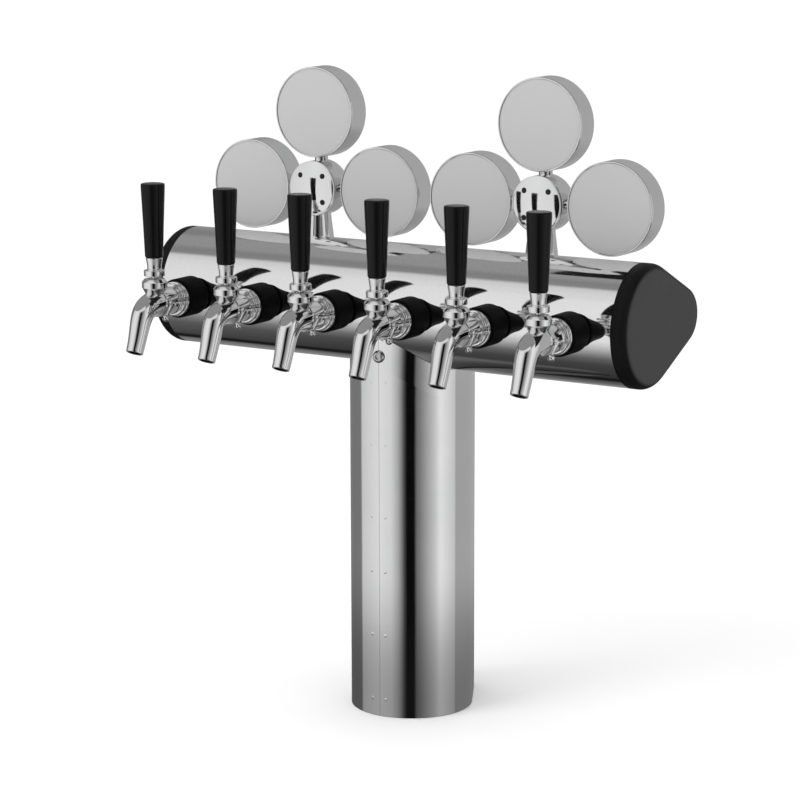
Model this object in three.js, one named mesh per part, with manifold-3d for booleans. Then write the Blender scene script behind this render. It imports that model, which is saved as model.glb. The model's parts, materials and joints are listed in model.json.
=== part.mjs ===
// A six-tap beer tower. A round-fronted cross beam lies on a column of a like section. Six faucets
// stand on shanks through the beam's front, and two crosses of three round medallions stand on top.
//
// Millimetres. X runs along the beam, Y to the back, Z up. The origin is on the counter, under the
// axis of the beam's round front and midway between the taps. "Reach" is a distance to the front.
import * as THREE from 'three';
import { mergeVertices } from 'three/addons/utils/BufferGeometryUtils.js';
import Module from 'manifold-3d';

const wasm = await Module();
wasm.setup();

// ---- Driving dimensions -----------------------------------------------------------------------

const GAP = 0.3; // left between pieces that touch
const OVERCUT = 5; // how far a cutting tool runs past what it cuts
const WALL = 2; // sheet of the beam and the column

// Section of the beam: a large round in front, a small one behind it, flats between them.
const BEAM_FRONT_R = 62.5;
const BEAM_NOSE_R = 30.5;
const BEAM_DEPTH = 74; // from the front round's axis to the nose's axis
const BEAM_END = 41; // sheet past the outer taps
const BEAM_HEIGHT = 427; // of the front round's axis

const CAP_THICKNESS = 17.3;
const CAP_ROUNDING = 10;
const CAP_SPIGOT_DEPTH = 12;
const CAP_SPIGOT_WALL = 3;

// The column has a slightly fuller section and stands a little behind the beam's front.
const COLUMN_FRONT_R = 64;
const COLUMN_NOSE_R = 35.3;
const COLUMN_STEP = 6.5; // its front face behind the beam's
const COLUMN_TOP_DROP = 8; // its sheet stops this far below the beam's axis
const DUCT_R = 28; // beam's opening over the column
const DUCT_Y = 38;

const FLANGE_THICKNESS = 5;
const FLANGE_RIM = 3;
const FLANGE_RIM_HEIGHT = 22;
const FLANGE_HOLE_R = 27;
const FLANGE_HOLE_Y = 45;
const FLANGE_SCREW_R = 3;
const FLANGE_SCREW_X = 38;
const FLANGE_SCREW_Y = [-22, 32];

const SCREW_BELOW_TIP = 18.8; // screw that holds the beam down, below the tip of the column's front
const SCREW_R = 3;
const SCREW_HEAD_R = 6.5;
const SCREW_HEAD = 3.6;
const SCREW_CROWN_R = 3.9;
const SCREW_SOCKET_R = 2.6;
const SCREW_LENGTH = 24;

// Taps
const TAP_COUNT = 6;
const TAP_SPACING = 90;
const SHANK_R = 11;
const SHANK_BORE_R = 4.5;
const SHANK_TAIL_R = 6.5;
const SHANK_TAIL_REACH = -30; // the hose end, inside the beam
const SHANK_THREAD_REACH = 5;
const LOCKNUT_R = 16;
const LOCKNUT_THICKNESS = 7;
const LOCKNUT_BACK = 12; // from the beam's front to the nut's inner face
const COLLAR_R = 20.5;
const COLLAR_LENGTH = 32.5; // from the beam's front to the collar's face
const NUT_RIM_R = 18.3;
const NUT_RIM = 3;
const NUT_R = 17.5;
const NUT_LENGTH = 8;

// Faucet. Its reaches are from the collar's face, and its heights from the barrel's axis.
const BARREL_R = 14.5;
const BARREL_BORE_R = 6.4;
const BARREL_REACH = 33; // end of the barrel's straight part
const BARREL_DOME = 7.3; // rounded end past it
const CHAMBER_REACH = 47; // end of the bore that the shuttle runs in
const LEVER_REACH = 36; // the lever's upright axis

const SPOUT_START = 31;
const SPOUT_TIP_REACH = 73;
const SPOUT_DROP = 46.5; // tip below the barrel's axis
const SPOUT_LEAN = THREE.MathUtils.degToRad(25);
const SPOUT_ELBOW_PULL = 34;
const SPOUT_TIP_PULL = 36;
const SPOUT_ROOT_R = 14.4;
const SPOUT_TIP_R = 9;
const SPOUT_TAPER = 1.5;
const SPOUT_BORE_R = 5.2;
const PAD_LEAN = THREE.MathUtils.degToRad(50); // blank flat ground on the front of the elbow
const PAD_REACH = 51; // the flat's upper edge
const PAD_RISE = 10.5;

// The lever turns on a ball.
const PIVOT_HEIGHT = 16;
const BALL_R = 5.3;
const BALL_PLAY = 0.7;
const NECK_R = 2.8;
const PIN_R = 2.2;
const PIN_TIP_R = 3;
const LEVER_TILT = THREE.MathUtils.degToRad(22);
const BONNET_R = 13.2;
const BONNET_FOOT_R = 7.5;
const BONNET_RIM_R = 10.3;
const BONNET_TOP = 26.2;
const BONNET_SHOULDER = 23.5;
const BONNET_WAIST = 19;
const BONNET_FOOT = 14;
const RING_R = 10.9;
const RING_BOTTOM = 29;
const RING_HEIGHT = 6;
const FERRULE_BOTTOM_R = 7.25;
const FERRULE_TOP_R = 8.75;
const FERRULE_HEIGHT = 13;
const STUD_R = 4;
const STUD_LENGTH = 20;
const HANDLE_LENGTH = 76.5;
const HANDLE_BOTTOM_R = 9.4;
const HANDLE_TOP_R = 12.4;
const HANDLE_EDGE = 1.2;

const SHUTTLE_R = 6;
const SHUTTLE_BACK = 17;
const SHUTTLE_FRONT = 43.5;
const SHUTTLE_SLOT = 3.4; // half length of the slot that the lever's pin stands in
const SHUTTLE_SLOT_DEPTH = 4.5;

const FLOW_REACH = 28; // pivot of the flow control
const FLOW_SPINDLE_R = 3;
const FLOW_SPINDLE_ROOT = 9.5;
const FLOW_ARM_GAP = 1;
const FLOW_ARM_THICKNESS = 2.4;
const FLOW_ARM_LENGTH = 18.5;
const FLOW_ARM_LEAN = THREE.MathUtils.degToRad(44);
const FLOW_HUB_R = 4.6;
const FLOW_ARM_R = 2;
const FLOW_KNOB_R = 3.6;

// Medallions: two crosses of three on posts.
const HUB_R = 29;
const HUB_WALL = 3.5;
const HUB_FACE_Y = 27;
const HUB_PLATE = 3;
const HUB_BACK_Y = 57;
const HUB_EDGE = 2;
const HUB_SCREWS = 4;
const HUB_SCREW_CIRCLE_R = 19.5;
const HUB_SCREW_R = 3;
const HUB_SCREW_SINK = 1;
const STUB_R = 7;
const CABLE_R = 3;
const BADGE_R = 47.5;
const BADGE_STANDOFF = 3.5; // gap that each stub bridges
const BADGE_GAP = 15; // between the two crosses
const BADGE_CLEARANCE = 6.9; // lowest medallions above the beam's slope
const BADGE_FACE_Y = 32.5;
const BADGE_DEPTH = 30;
const BADGE_EDGE = 2.5;
const BADGE_WALL = 2;
const BEZEL_WIDTH = 4;
const LENS_SINK = 1;
const LENS_THICKNESS = 3;
const POST_Y = 40;
const POST_TOP_R = 14;
const POST_SPREAD = 0.12; // gain of radius for each millimetre down
const POST_BORE_R = 4;
const POST_HOLE_R = 6;

// Facets
const FRONT_STEPS = 22;
const NOSE_STEPS = 8;
const TAP_SIDES = 10;
const BORE_SIDES = 8;
const WIDE_SIDES = 24;
const SPOUT_STEPS = 6;
const BALL_STEPS = 4;
const DOME_STEPS = 3;

// ---- Solids from three.js geometry --------------------------------------------------------------

/** The closed solid of a geometry, its shared corners merged. */
function solid(geometry) {
  const bare = geometry.clone();
  bare.deleteAttribute('normal');
  bare.deleteAttribute('uv');
  const merged = mergeVertices(bare);
  const mesh = new wasm.Mesh({
    numProp: 3,
    vertProperties: new Float32Array(merged.attributes.position.array),
    triVerts: new Uint32Array(merged.index.array),
  });
  return new wasm.Manifold(mesh);
}

/** The geometry of a solid, for a mesh. */
function geometryOf(body) {
  const mesh = body.getMesh();
  const geometry = new THREE.BufferGeometry();
  geometry.setAttribute('position', new THREE.BufferAttribute(mesh.vertProperties, 3));
  geometry.setIndex(new THREE.BufferAttribute(mesh.triVerts, 1));
  geometry.computeVertexNormals();
  return geometry;
}

/** A turned solid: profile points are [radius, distance along the axis]. */
function turned(profile, axis, sides) {
  const points = profile.map(([radius, along]) => new THREE.Vector2(radius, along));
  const geometry = new THREE.LatheGeometry(points, sides);
  if (axis === 'up') geometry.rotateX(Math.PI / 2);
  if (axis === 'front') geometry.rotateX(Math.PI);
  if (axis === 'right') geometry.rotateZ(-Math.PI / 2);
  return solid(geometry);
}

/** A plain round bar from one distance along the axis to another. */
function bar(radius, from, to, axis, sides = BORE_SIDES) {
  return turned([[0, from], [radius, from], [radius, to], [0, to]], axis, sides);
}

/** A bar that starts at a point and runs out radially in the XZ plane, at an angle from +X. */
function radialBar(radius, from, to, angle, y) {
  const tool = bar(radius, from, to, 'right');
  return tool.rotate([0, -THREE.MathUtils.radToDeg(angle), 0]).translate([0, y, 0]);
}

/** Points of an arc in a plane, both ends included. */
function arc(centreX, centreY, radius, from, to, steps) {
  const points = [];
  for (let i = 0; i <= steps; i += 1) {
    const angle = THREE.MathUtils.lerp(from, to, i / steps);
    points.push([centreX + radius * Math.cos(angle), centreY + radius * Math.sin(angle)]);
  }
  return points;
}

/** Rounded wedge outline: local x runs from the large round to the small one. */
function wedge(frontR, noseR, depth, inset) {
  const top = Math.acos((frontR - noseR) / depth);
  const front = arc(0, 0, frontR - inset, top, 2 * Math.PI - top, FRONT_STEPS);
  const nose = arc(depth, 0, noseR - inset, -top, top, NOSE_STEPS);
  return new THREE.Shape([...front, ...nose].map(([x, y]) => new THREE.Vector2(x, y)));
}

const beamOutline = (inset) => wedge(BEAM_FRONT_R, BEAM_NOSE_R, BEAM_DEPTH, inset);

const columnSetback = COLUMN_STEP + COLUMN_FRONT_R - BEAM_FRONT_R; // its front axis behind the beam's
const columnDepth = BEAM_DEPTH + BEAM_NOSE_R - COLUMN_NOSE_R - columnSetback;
const columnOutline = (inset) => wedge(COLUMN_FRONT_R, COLUMN_NOSE_R, columnDepth, inset);

/** Turns an extrusion to run along X: outline x to +Y, outline y to +Z. */
const toBeamwise = new THREE.Matrix4().makeBasis(
  new THREE.Vector3(0, 1, 0),
  new THREE.Vector3(0, 0, 1),
  new THREE.Vector3(1, 0, 0),
);

/** An extrusion along X of an outline in the YZ plane, from one X to another. */
function across(outline, from, to) {
  const geometry = new THREE.ExtrudeGeometry(outline, { depth: to - from, bevelEnabled: false });
  geometry.translate(0, 0, from);
  geometry.applyMatrix4(toBeamwise);
  return solid(geometry);
}

/** The same at the beam's height. */
function alongBeam(outline, from, to) {
  return across(outline, from, to).translate([0, 0, BEAM_HEIGHT]);
}

/** An upright extrusion of a column outline from one height to another. */
function upright(outline, from, to) {
  const geometry = new THREE.ExtrudeGeometry(outline, { depth: to - from, bevelEnabled: false });
  geometry.rotateZ(Math.PI / 2);
  geometry.translate(0, columnSetback, from);
  return solid(geometry);
}

/** A box between two corners. */
function block(low, high) {
  const size = high.map((value, i) => value - low[i]);
  const geometry = new THREE.BoxGeometry(...size);
  geometry.translate(...low.map((value, i) => value + size[i] / 2));
  return solid(geometry);
}

// ---- Beam and column ----------------------------------------------------------------------------

const halfBeam = ((TAP_COUNT - 1) * TAP_SPACING) / 2 + BEAM_END;
const tapX = Array.from({ length: TAP_COUNT }, (_, i) => (i - (TAP_COUNT - 1) / 2) * TAP_SPACING);
const columnTip = BEAM_HEIGHT - Math.sqrt(BEAM_FRONT_R ** 2 - (BEAM_FRONT_R - COLUMN_STEP) ** 2);
const screwHeight = columnTip - SCREW_BELOW_TIP;
const badgeArm = HUB_R + BADGE_STANDOFF + BADGE_R; // hub axis to medallion axis
const crossX = badgeArm + BADGE_R + BADGE_GAP / 2;
const crossHeight = BEAM_HEIGHT + slopeRise(BADGE_FACE_Y) + BADGE_CLEARANCE + BADGE_R;

/** Height of the beam's rear slope above the beam's axis, at a distance behind that axis. */
function slopeRise(y) {
  const fall = Math.asin((BEAM_FRONT_R - BEAM_NOSE_R) / BEAM_DEPTH);
  return (BEAM_FRONT_R - y * Math.sin(fall)) / Math.cos(fall);
}

/** Everything inside the beam's outer skin, grown by a clearance. */
function beamEnvelope(clearance) {
  return alongBeam(beamOutline(-clearance), -halfBeam - OVERCUT, halfBeam + OVERCUT);
}

/** The beam: a sheet tube with holes for shanks, posts, the column's duct and the joint screw. */
function makeBeam() {
  let beam = alongBeam(beamOutline(0), -halfBeam, halfBeam);
  beam = beam.subtract(alongBeam(beamOutline(WALL), -halfBeam - OVERCUT, halfBeam + OVERCUT));
  const shankHole = bar(SHANK_R + GAP, LOCKNUT_R, BEAM_FRONT_R + OVERCUT, 'front', TAP_SIDES);
  for (const x of tapX) beam = beam.subtract(shankHole.translate([x, 0, BEAM_HEIGHT]));
  const postHole = bar(POST_HOLE_R, 0, BEAM_FRONT_R + OVERCUT, 'up', TAP_SIDES);
  for (const side of [-1, 1]) {
    beam = beam.subtract(postHole.translate([side * crossX, POST_Y, BEAM_HEIGHT]));
  }
  const duct = bar(DUCT_R, BEAM_HEIGHT - BEAM_FRONT_R - OVERCUT, BEAM_HEIGHT, 'up', WIDE_SIDES);
  beam = beam.subtract(duct.translate([0, DUCT_Y, 0]));
  const screwHole = bar(SCREW_R + GAP, 0, BEAM_FRONT_R, 'front');
  return beam.subtract(screwHole.translate([0, 0, screwHeight]));
}

/** A moulded end cap: a slab with a rounded edge, and a hollow spigot inside the beam. */
function makeCap(side) {
  const inner = halfBeam + GAP;
  const slab = new THREE.ExtrudeGeometry(beamOutline(CAP_ROUNDING), {
    depth: 2 * (CAP_THICKNESS - CAP_ROUNDING),
    bevelThickness: CAP_ROUNDING,
    bevelSize: CAP_ROUNDING,
    bevelSegments: 2,
  });
  slab.translate(0, 0, CAP_ROUNDING - CAP_THICKNESS);
  slab.applyMatrix4(toBeamwise);
  slab.translate(inner, 0, BEAM_HEIGHT);
  const reach = BEAM_FRONT_R + BEAM_DEPTH;
  const inboard = block(
    [0, -reach, BEAM_HEIGHT - reach],
    [inner, 2 * reach, BEAM_HEIGHT + reach],
  );
  const spigotSkin = WALL + GAP;
  const spigotRoot = inner + CAP_ROUNDING / 2;
  const spigot = alongBeam(beamOutline(spigotSkin), inner - CAP_SPIGOT_DEPTH, spigotRoot);
  const hollow = alongBeam(beamOutline(spigotSkin + CAP_SPIGOT_WALL), 0, inner);
  const cap = solid(slab).subtract(inboard).add(spigot).subtract(hollow);
  return side > 0 ? cap : cap.mirror([1, 0, 0]);
}

/** The column: an upright sheet tube coped to the beam's underside. */
function makeColumn() {
  const top = BEAM_HEIGHT - COLUMN_TOP_DROP;
  let column = upright(columnOutline(0), 0, top);
  column = column.subtract(upright(columnOutline(WALL), -OVERCUT, top + OVERCUT));
  column = column.subtract(beamEnvelope(GAP));
  const screwHole = bar(SCREW_R + GAP, 0, BEAM_FRONT_R, 'front');
  return column.subtract(screwHole.translate([0, 0, screwHeight]));
}

/** The base flange: a plate with a rim inside the column, a line hole and four screw holes. */
function makeBaseFlange() {
  const skin = WALL + GAP;
  const tray = upright(columnOutline(skin), 0, FLANGE_RIM_HEIGHT);
  const well = upright(columnOutline(skin + FLANGE_RIM), FLANGE_THICKNESS, FLANGE_RIM_HEIGHT + OVERCUT);
  const lineHole = bar(FLANGE_HOLE_R, -OVERCUT, FLANGE_RIM_HEIGHT, 'up', WIDE_SIDES);
  let flange = tray.subtract(well).subtract(lineHole.translate([0, FLANGE_HOLE_Y, 0]));
  const screwHole = bar(FLANGE_SCREW_R, -OVERCUT, FLANGE_RIM_HEIGHT, 'up');
  for (const x of [-FLANGE_SCREW_X, FLANGE_SCREW_X]) {
    for (const y of FLANGE_SCREW_Y) flange = flange.subtract(screwHole.translate([x, y, 0]));
  }
  return flange;
}

/** The button-head screw that pulls the beam down on the column. */
function makeJointScrew() {
  const seat = BEAM_FRONT_R - COLUMN_STEP + GAP;
  const screw = turned([
    [0, seat - SCREW_LENGTH],
    [SCREW_R, seat - SCREW_LENGTH],
    [SCREW_R, seat],
    [SCREW_HEAD_R, seat],
    [SCREW_HEAD_R, seat + SCREW_HEAD / 3],
    [SCREW_CROWN_R, seat + SCREW_HEAD],
    [SCREW_SOCKET_R, seat + SCREW_HEAD],
    [SCREW_SOCKET_R, seat + SCREW_HEAD / 3],
    [0, seat + SCREW_HEAD / 3],
  ], 'front', BORE_SIDES);
  return screw.translate([0, 0, screwHeight]);
}

// ---- Shank and collar: built about the beam's axis -----------------------------------------------

const collarReach = BEAM_FRONT_R + COLLAR_LENGTH;

/** The shank: a threaded tube with its hose tail, lock nut and coupling nut. */
function makeShank() {
  const lockBack = BEAM_FRONT_R - LOCKNUT_BACK;
  const lockFront = lockBack + LOCKNUT_THICKNESS;
  const nutFront = collarReach + NUT_LENGTH;
  return turned([
    [SHANK_BORE_R, SHANK_TAIL_REACH],
    [SHANK_TAIL_R, SHANK_TAIL_REACH],
    [SHANK_TAIL_R, SHANK_THREAD_REACH],
    [SHANK_R, SHANK_THREAD_REACH],
    [SHANK_R, lockBack],
    [LOCKNUT_R, lockBack],
    [LOCKNUT_R, lockFront],
    [SHANK_R, lockFront],
    [SHANK_R, collarReach],
    [NUT_RIM_R, collarReach],
    [NUT_RIM_R, collarReach + NUT_RIM],
    [NUT_R, collarReach + NUT_RIM],
    [NUT_R, nutFront],
    [SHANK_BORE_R, nutFront],
    [SHANK_BORE_R, SHANK_TAIL_REACH],
  ], 'front', TAP_SIDES);
}

/** The black collar between the beam and the coupling nut. */
function makeCollar() {
  const sleeve = bar(COLLAR_R, LOCKNUT_R, collarReach - GAP, 'front', 2 * TAP_SIDES);
  const bore = bar(SHANK_R + GAP, 0, collarReach + OVERCUT, 'front', TAP_SIDES);
  const beam = beamEnvelope(GAP).translate([0, 0, -BEAM_HEIGHT]);
  return sleeve.subtract(bore).subtract(beam);
}

// ---- Faucet: built about the barrel's axis at the collar's face ----------------------------------

/** Centreline of the spout, run on past its tip by an extra length. */
function spoutPath(extra) {
  const down = new THREE.Vector3(0, -Math.sin(SPOUT_LEAN), -Math.cos(SPOUT_LEAN));
  const start = new THREE.Vector3(0, -SPOUT_START, 0);
  const elbow = new THREE.Vector3(0, -SPOUT_START - SPOUT_ELBOW_PULL, 0);
  const tip = new THREE.Vector3(0, -SPOUT_TIP_REACH, -SPOUT_DROP);
  const knee = tip.clone().addScaledVector(down, -SPOUT_TIP_PULL);
  return new THREE.CubicBezierCurve3(start, elbow, knee, tip.addScaledVector(down, extra));
}

/** A tube along a path whose radius is a function of the share of the path. */
function taperedTube(path, radiusAt, sides) {
  const ring = arc(0, 0, 1, 0, 2 * Math.PI, sides).slice(0, sides);
  const outline = new THREE.Shape(ring.map(([x, y]) => new THREE.Vector2(x, y)));
  const geometry = new THREE.ExtrudeGeometry(outline, { steps: SPOUT_STEPS, extrudePath: path });
  const stations = path.getSpacedPoints(SPOUT_STEPS);
  const place = geometry.attributes.position;
  const point = new THREE.Vector3();
  for (let i = 0; i < place.count; i += 1) {
    point.fromBufferAttribute(place, i);
    const gaps = stations.map((station) => Math.abs(station.distanceTo(point) - 1));
    const nearest = gaps.indexOf(Math.min(...gaps));
    point.sub(stations[nearest]).multiplyScalar(radiusAt(nearest / SPOUT_STEPS)).add(stations[nearest]);
    place.setXYZ(i, point.x, point.y, point.z);
  }
  return solid(geometry);
}

const spoutRadius = (share) => SPOUT_TIP_R + (SPOUT_ROOT_R - SPOUT_TIP_R) * (1 - share) ** SPOUT_TAPER;

/** Lathe points of a ball whose centre is on the axis, from one angle from the equator to another. */
function ballProfile(radius, height, from, to) {
  return arc(0, height, radius, from, to, BALL_STEPS);
}

/** The outside of the faucet body: barrel, spout with its flat, and bonnet. */
function faucetOutside() {
  const back = NUT_LENGTH + GAP;
  const dome = arc(0, 0, 1, 0, Math.PI / 2, DOME_STEPS)
    .map(([radius, rise]) => [BARREL_R * radius, BARREL_REACH + BARREL_DOME * rise]);
  dome[DOME_STEPS][0] = 0;
  const barrel = turned([[0, back], [BARREL_R, back], ...dome], 'front', TAP_SIDES);
  const spout = taperedTube(spoutPath(0), spoutRadius, TAP_SIDES);
  const aside = SPOUT_ROOT_R + OVERCUT;
  const pad = block([-aside, -SPOUT_ROOT_R, -SPOUT_DROP], [aside, 0, SPOUT_ROOT_R])
    .rotate([-THREE.MathUtils.radToDeg(PAD_LEAN), 0, 0])
    .translate([0, -PAD_REACH, PAD_RISE]);
  const bonnet = turned([
    [0, 0],
    [BONNET_FOOT_R, 0],
    [BONNET_FOOT_R, BONNET_FOOT],
    [BONNET_R, BONNET_WAIST],
    [BONNET_R, BONNET_SHOULDER],
    [BONNET_RIM_R, BONNET_TOP],
    [0, BONNET_TOP],
  ], 'up', TAP_SIDES);
  return barrel.add(spout.subtract(pad)).add(bonnet.translate([0, -LEVER_REACH, 0]));
}

/** What is cut out of the faucet body: shuttle bore, spout bore, ball seat and pin slot. */
function faucetInside() {
  const chamber = bar(BARREL_BORE_R, 0, CHAMBER_REACH, 'front', TAP_SIDES);
  const spoutBore = taperedTube(spoutPath(OVERCUT), () => SPOUT_BORE_R, BORE_SIDES);
  const seatR = BALL_R + BALL_PLAY;
  const seat = turned(ballProfile(seatR, PIVOT_HEIGHT, -Math.PI / 2, Math.PI / 2), 'up', TAP_SIDES);
  const neckSweep = (rise) => NECK_R / Math.cos(LEVER_TILT) + rise * Math.tan(LEVER_TILT) + GAP;
  const mouthR = neckSweep(BONNET_TOP - PIVOT_HEIGHT);
  const mouth = turned([
    [0, PIVOT_HEIGHT],
    [neckSweep(0), PIVOT_HEIGHT],
    [mouthR, BONNET_TOP],
    [mouthR, BONNET_TOP + OVERCUT],
    [0, BONNET_TOP + OVERCUT],
  ], 'up', TAP_SIDES);
  const slotHalf = PIN_R + BALL_PLAY;
  const swing = PIVOT_HEIGHT * Math.tan(LEVER_TILT);
  const slotOutline = new THREE.Shape([
    new THREE.Vector2(-slotHalf, 0),
    new THREE.Vector2(slotHalf + swing, 0),
    new THREE.Vector2(slotHalf, PIVOT_HEIGHT),
    new THREE.Vector2(-slotHalf, PIVOT_HEIGHT),
  ]);
  const slot = across(slotOutline, -slotHalf, slotHalf).translate([0, -LEVER_REACH, 0]);
  const spindleRoot = FLOW_SPINDLE_ROOT - GAP;
  const spindleHole = bar(FLOW_SPINDLE_R + GAP, spindleRoot, BARREL_R + OVERCUT, 'right', TAP_SIDES);
  return chamber
    .add(spoutBore)
    .add(seat.add(mouth).translate([0, -LEVER_REACH, 0]))
    .add(slot)
    .add(spindleHole.translate([0, -FLOW_REACH, 0]));
}

/** The lever: pin, ball, neck, clamp ring, ferrule and the stud in the handle. */
function makeLever() {
  const ringTop = RING_BOTTOM + RING_HEIGHT;
  const ferruleTop = ringTop + FERRULE_HEIGHT;
  const hollowR = Math.hypot(BONNET_RIM_R, BONNET_TOP - PIVOT_HEIGHT) + GAP;
  const hollowEdge = Math.sqrt(hollowR ** 2 - (RING_BOTTOM - PIVOT_HEIGHT) ** 2);
  const hollowTop = PIVOT_HEIGHT + Math.sqrt(hollowR ** 2 - NECK_R ** 2);
  const pinAngle = Math.acos(PIN_R / BALL_R);
  const neckAngle = Math.acos(NECK_R / BALL_R);
  const tipAngle = Math.acos(PIN_R / PIN_TIP_R);
  return turned([
    ...ballProfile(PIN_TIP_R, 0, -Math.PI / 2, tipAngle),
    ...ballProfile(BALL_R, PIVOT_HEIGHT, -pinAngle, neckAngle),
    [NECK_R, hollowTop],
    [hollowEdge, RING_BOTTOM],
    [RING_R, RING_BOTTOM],
    [RING_R, ringTop],
    [FERRULE_BOTTOM_R, ringTop],
    [FERRULE_TOP_R, ferruleTop],
    [STUD_R, ferruleTop],
    [STUD_R, ferruleTop + STUD_LENGTH],
    [0, ferruleTop + STUD_LENGTH],
  ], 'up', TAP_SIDES).translate([0, -LEVER_REACH, 0]);
}

/** The handle: a tapered grip with a socket for the stud. */
function makeHandle() {
  const bottom = RING_BOTTOM + RING_HEIGHT + FERRULE_HEIGHT + GAP;
  const top = bottom + HANDLE_LENGTH;
  const socketTop = bottom + STUD_LENGTH + GAP;
  return turned([
    [STUD_R + GAP, bottom],
    [HANDLE_BOTTOM_R, bottom],
    [HANDLE_TOP_R, top - HANDLE_EDGE],
    [HANDLE_TOP_R - HANDLE_EDGE, top],
    [0, top],
    [0, socketTop],
    [STUD_R + GAP, socketTop],
    [STUD_R + GAP, bottom],
  ], 'up', TAP_SIDES).translate([0, -LEVER_REACH, 0]);
}

/** The shuttle that the lever's pin slides to open the seat. */
function makeShuttle() {
  const plug = bar(SHUTTLE_R, SHUTTLE_BACK, SHUTTLE_FRONT, 'front', TAP_SIDES);
  const pinLag = PIVOT_HEIGHT * Math.sin(LEVER_TILT) - (PIVOT_HEIGHT - SHUTTLE_R) * Math.tan(LEVER_TILT);
  const slotOutline = new THREE.Shape([
    new THREE.Vector2(-SHUTTLE_SLOT, -SHUTTLE_SLOT_DEPTH),
    new THREE.Vector2(SHUTTLE_SLOT, -SHUTTLE_SLOT_DEPTH),
    new THREE.Vector2(SHUTTLE_SLOT, SHUTTLE_R + OVERCUT),
    new THREE.Vector2(-SHUTTLE_SLOT - pinLag, SHUTTLE_R + OVERCUT),
    new THREE.Vector2(-SHUTTLE_SLOT - pinLag, SHUTTLE_R),
  ]);
  const slot = across(slotOutline, -SHUTTLE_SLOT, SHUTTLE_SLOT).translate([0, -LEVER_REACH, 0]);
  return plug.subtract(slot);
}

/** The flow control: a spindle in the barrel's side, with an arm and a ball end. */
function makeFlowLever() {
  const armX = BARREL_R + FLOW_ARM_GAP;
  const spindle = bar(FLOW_SPINDLE_R, FLOW_SPINDLE_ROOT, armX + FLOW_ARM_THICKNESS / 2, 'right', TAP_SIDES);
  const hub = bar(FLOW_HUB_R, armX, armX + FLOW_ARM_THICKNESS, 'right', TAP_SIDES);
  const arm = block(
    [armX, -FLOW_ARM_R, -FLOW_ARM_LENGTH],
    [armX + FLOW_ARM_THICKNESS, FLOW_ARM_R, 0],
  );
  const knob = turned(ballProfile(FLOW_KNOB_R, 0, -Math.PI / 2, Math.PI / 2), 'up', BORE_SIDES)
    .translate([armX + FLOW_ARM_THICKNESS / 2, 0, -FLOW_ARM_LENGTH]);
  return spindle
    .add(hub)
    .add(arm)
    .add(knob)
    .rotate([-THREE.MathUtils.radToDeg(FLOW_ARM_LEAN), 0, 0])
    .translate([0, -FLOW_REACH, 0]);
}

// ---- Medallion cross: built about the hub's axis -------------------------------------------------

const stubY = BADGE_FACE_Y + BADGE_DEPTH / 2;
const badgeAngles = [Math.PI, Math.PI / 2, 0];

/** The hub: a cup with three stubs, bored for cables. */
function makeHub() {
  const front = HUB_FACE_Y + HUB_PLATE + GAP;
  const cup = turned([
    [0, HUB_BACK_Y],
    [HUB_R - HUB_EDGE, HUB_BACK_Y],
    [HUB_R, HUB_BACK_Y - HUB_EDGE],
    [HUB_R, front],
    [0, front],
  ].map(([radius, y]) => [radius, -y]), 'front', WIDE_SIDES);
  const cavityR = HUB_R - HUB_WALL;
  const cavity = bar(cavityR, -(HUB_BACK_Y - HUB_WALL), -front + OVERCUT, 'front', WIDE_SIDES);
  const badge = bar(BADGE_R + GAP, -HUB_BACK_Y - OVERCUT, 0, 'front', WIDE_SIDES);
  let hub = cup;
  for (const angle of badgeAngles) {
    const reach = [badgeArm * Math.cos(angle), 0, badgeArm * Math.sin(angle)];
    const stub = radialBar(STUB_R, cavityR, badgeArm - BADGE_R + OVERCUT, angle, stubY);
    hub = hub.add(stub.subtract(badge.translate(reach)));
  }
  hub = hub.subtract(cavity);
  for (const angle of badgeAngles) {
    hub = hub.subtract(radialBar(CABLE_R, 0, badgeArm, angle, stubY));
  }
  return hub.subtract(radialBar(POST_BORE_R, 0, HUB_R + OVERCUT, -Math.PI / 2, POST_Y));
}

/** The hub's front plate with its four sunk screws. */
function makeHubPlate() {
  const back = HUB_FACE_Y + HUB_PLATE;
  let plate = turned([
    [0, -back],
    [HUB_R, -back],
    [HUB_R, -HUB_FACE_Y - HUB_PLATE / 3],
    [HUB_R - HUB_PLATE / 3, -HUB_FACE_Y],
    [0, -HUB_FACE_Y],
  ], 'front', WIDE_SIDES);
  const sink = bar(HUB_SCREW_R, -HUB_FACE_Y - HUB_SCREW_SINK, OVERCUT, 'front');
  for (let i = 0; i < HUB_SCREWS; i += 1) {
    const angle = ((i + 0.5) * 2 * Math.PI) / HUB_SCREWS;
    const x = HUB_SCREW_CIRCLE_R * Math.cos(angle);
    const z = HUB_SCREW_CIRCLE_R * Math.sin(angle);
    plate = plate.subtract(sink.translate([x, 0, z]));
  }
  return plate;
}

/** A medallion about its own axis: can, bezel and lens in one, with a cable hole to the hub. */
function makeBadge(angleToHub) {
  const back = BADGE_FACE_Y + BADGE_DEPTH;
  const lens = BADGE_FACE_Y + LENS_SINK;
  const can = turned([
    [0, -back],
    [BADGE_R - BADGE_EDGE, -back],
    [BADGE_R, -back + BADGE_EDGE],
    [BADGE_R, -BADGE_FACE_Y],
    [BADGE_R - BEZEL_WIDTH, -BADGE_FACE_Y],
    [BADGE_R - BEZEL_WIDTH, -lens],
    [0, -lens],
  ], 'front', WIDE_SIDES);
  const hollow = bar(BADGE_R - BADGE_WALL, -back + BADGE_WALL, -lens - LENS_THICKNESS, 'front', WIDE_SIDES);
  const cableHole = radialBar(CABLE_R, 0, BADGE_R + OVERCUT, angleToHub, stubY);
  return can.subtract(hollow).subtract(cableHole);
}

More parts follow.
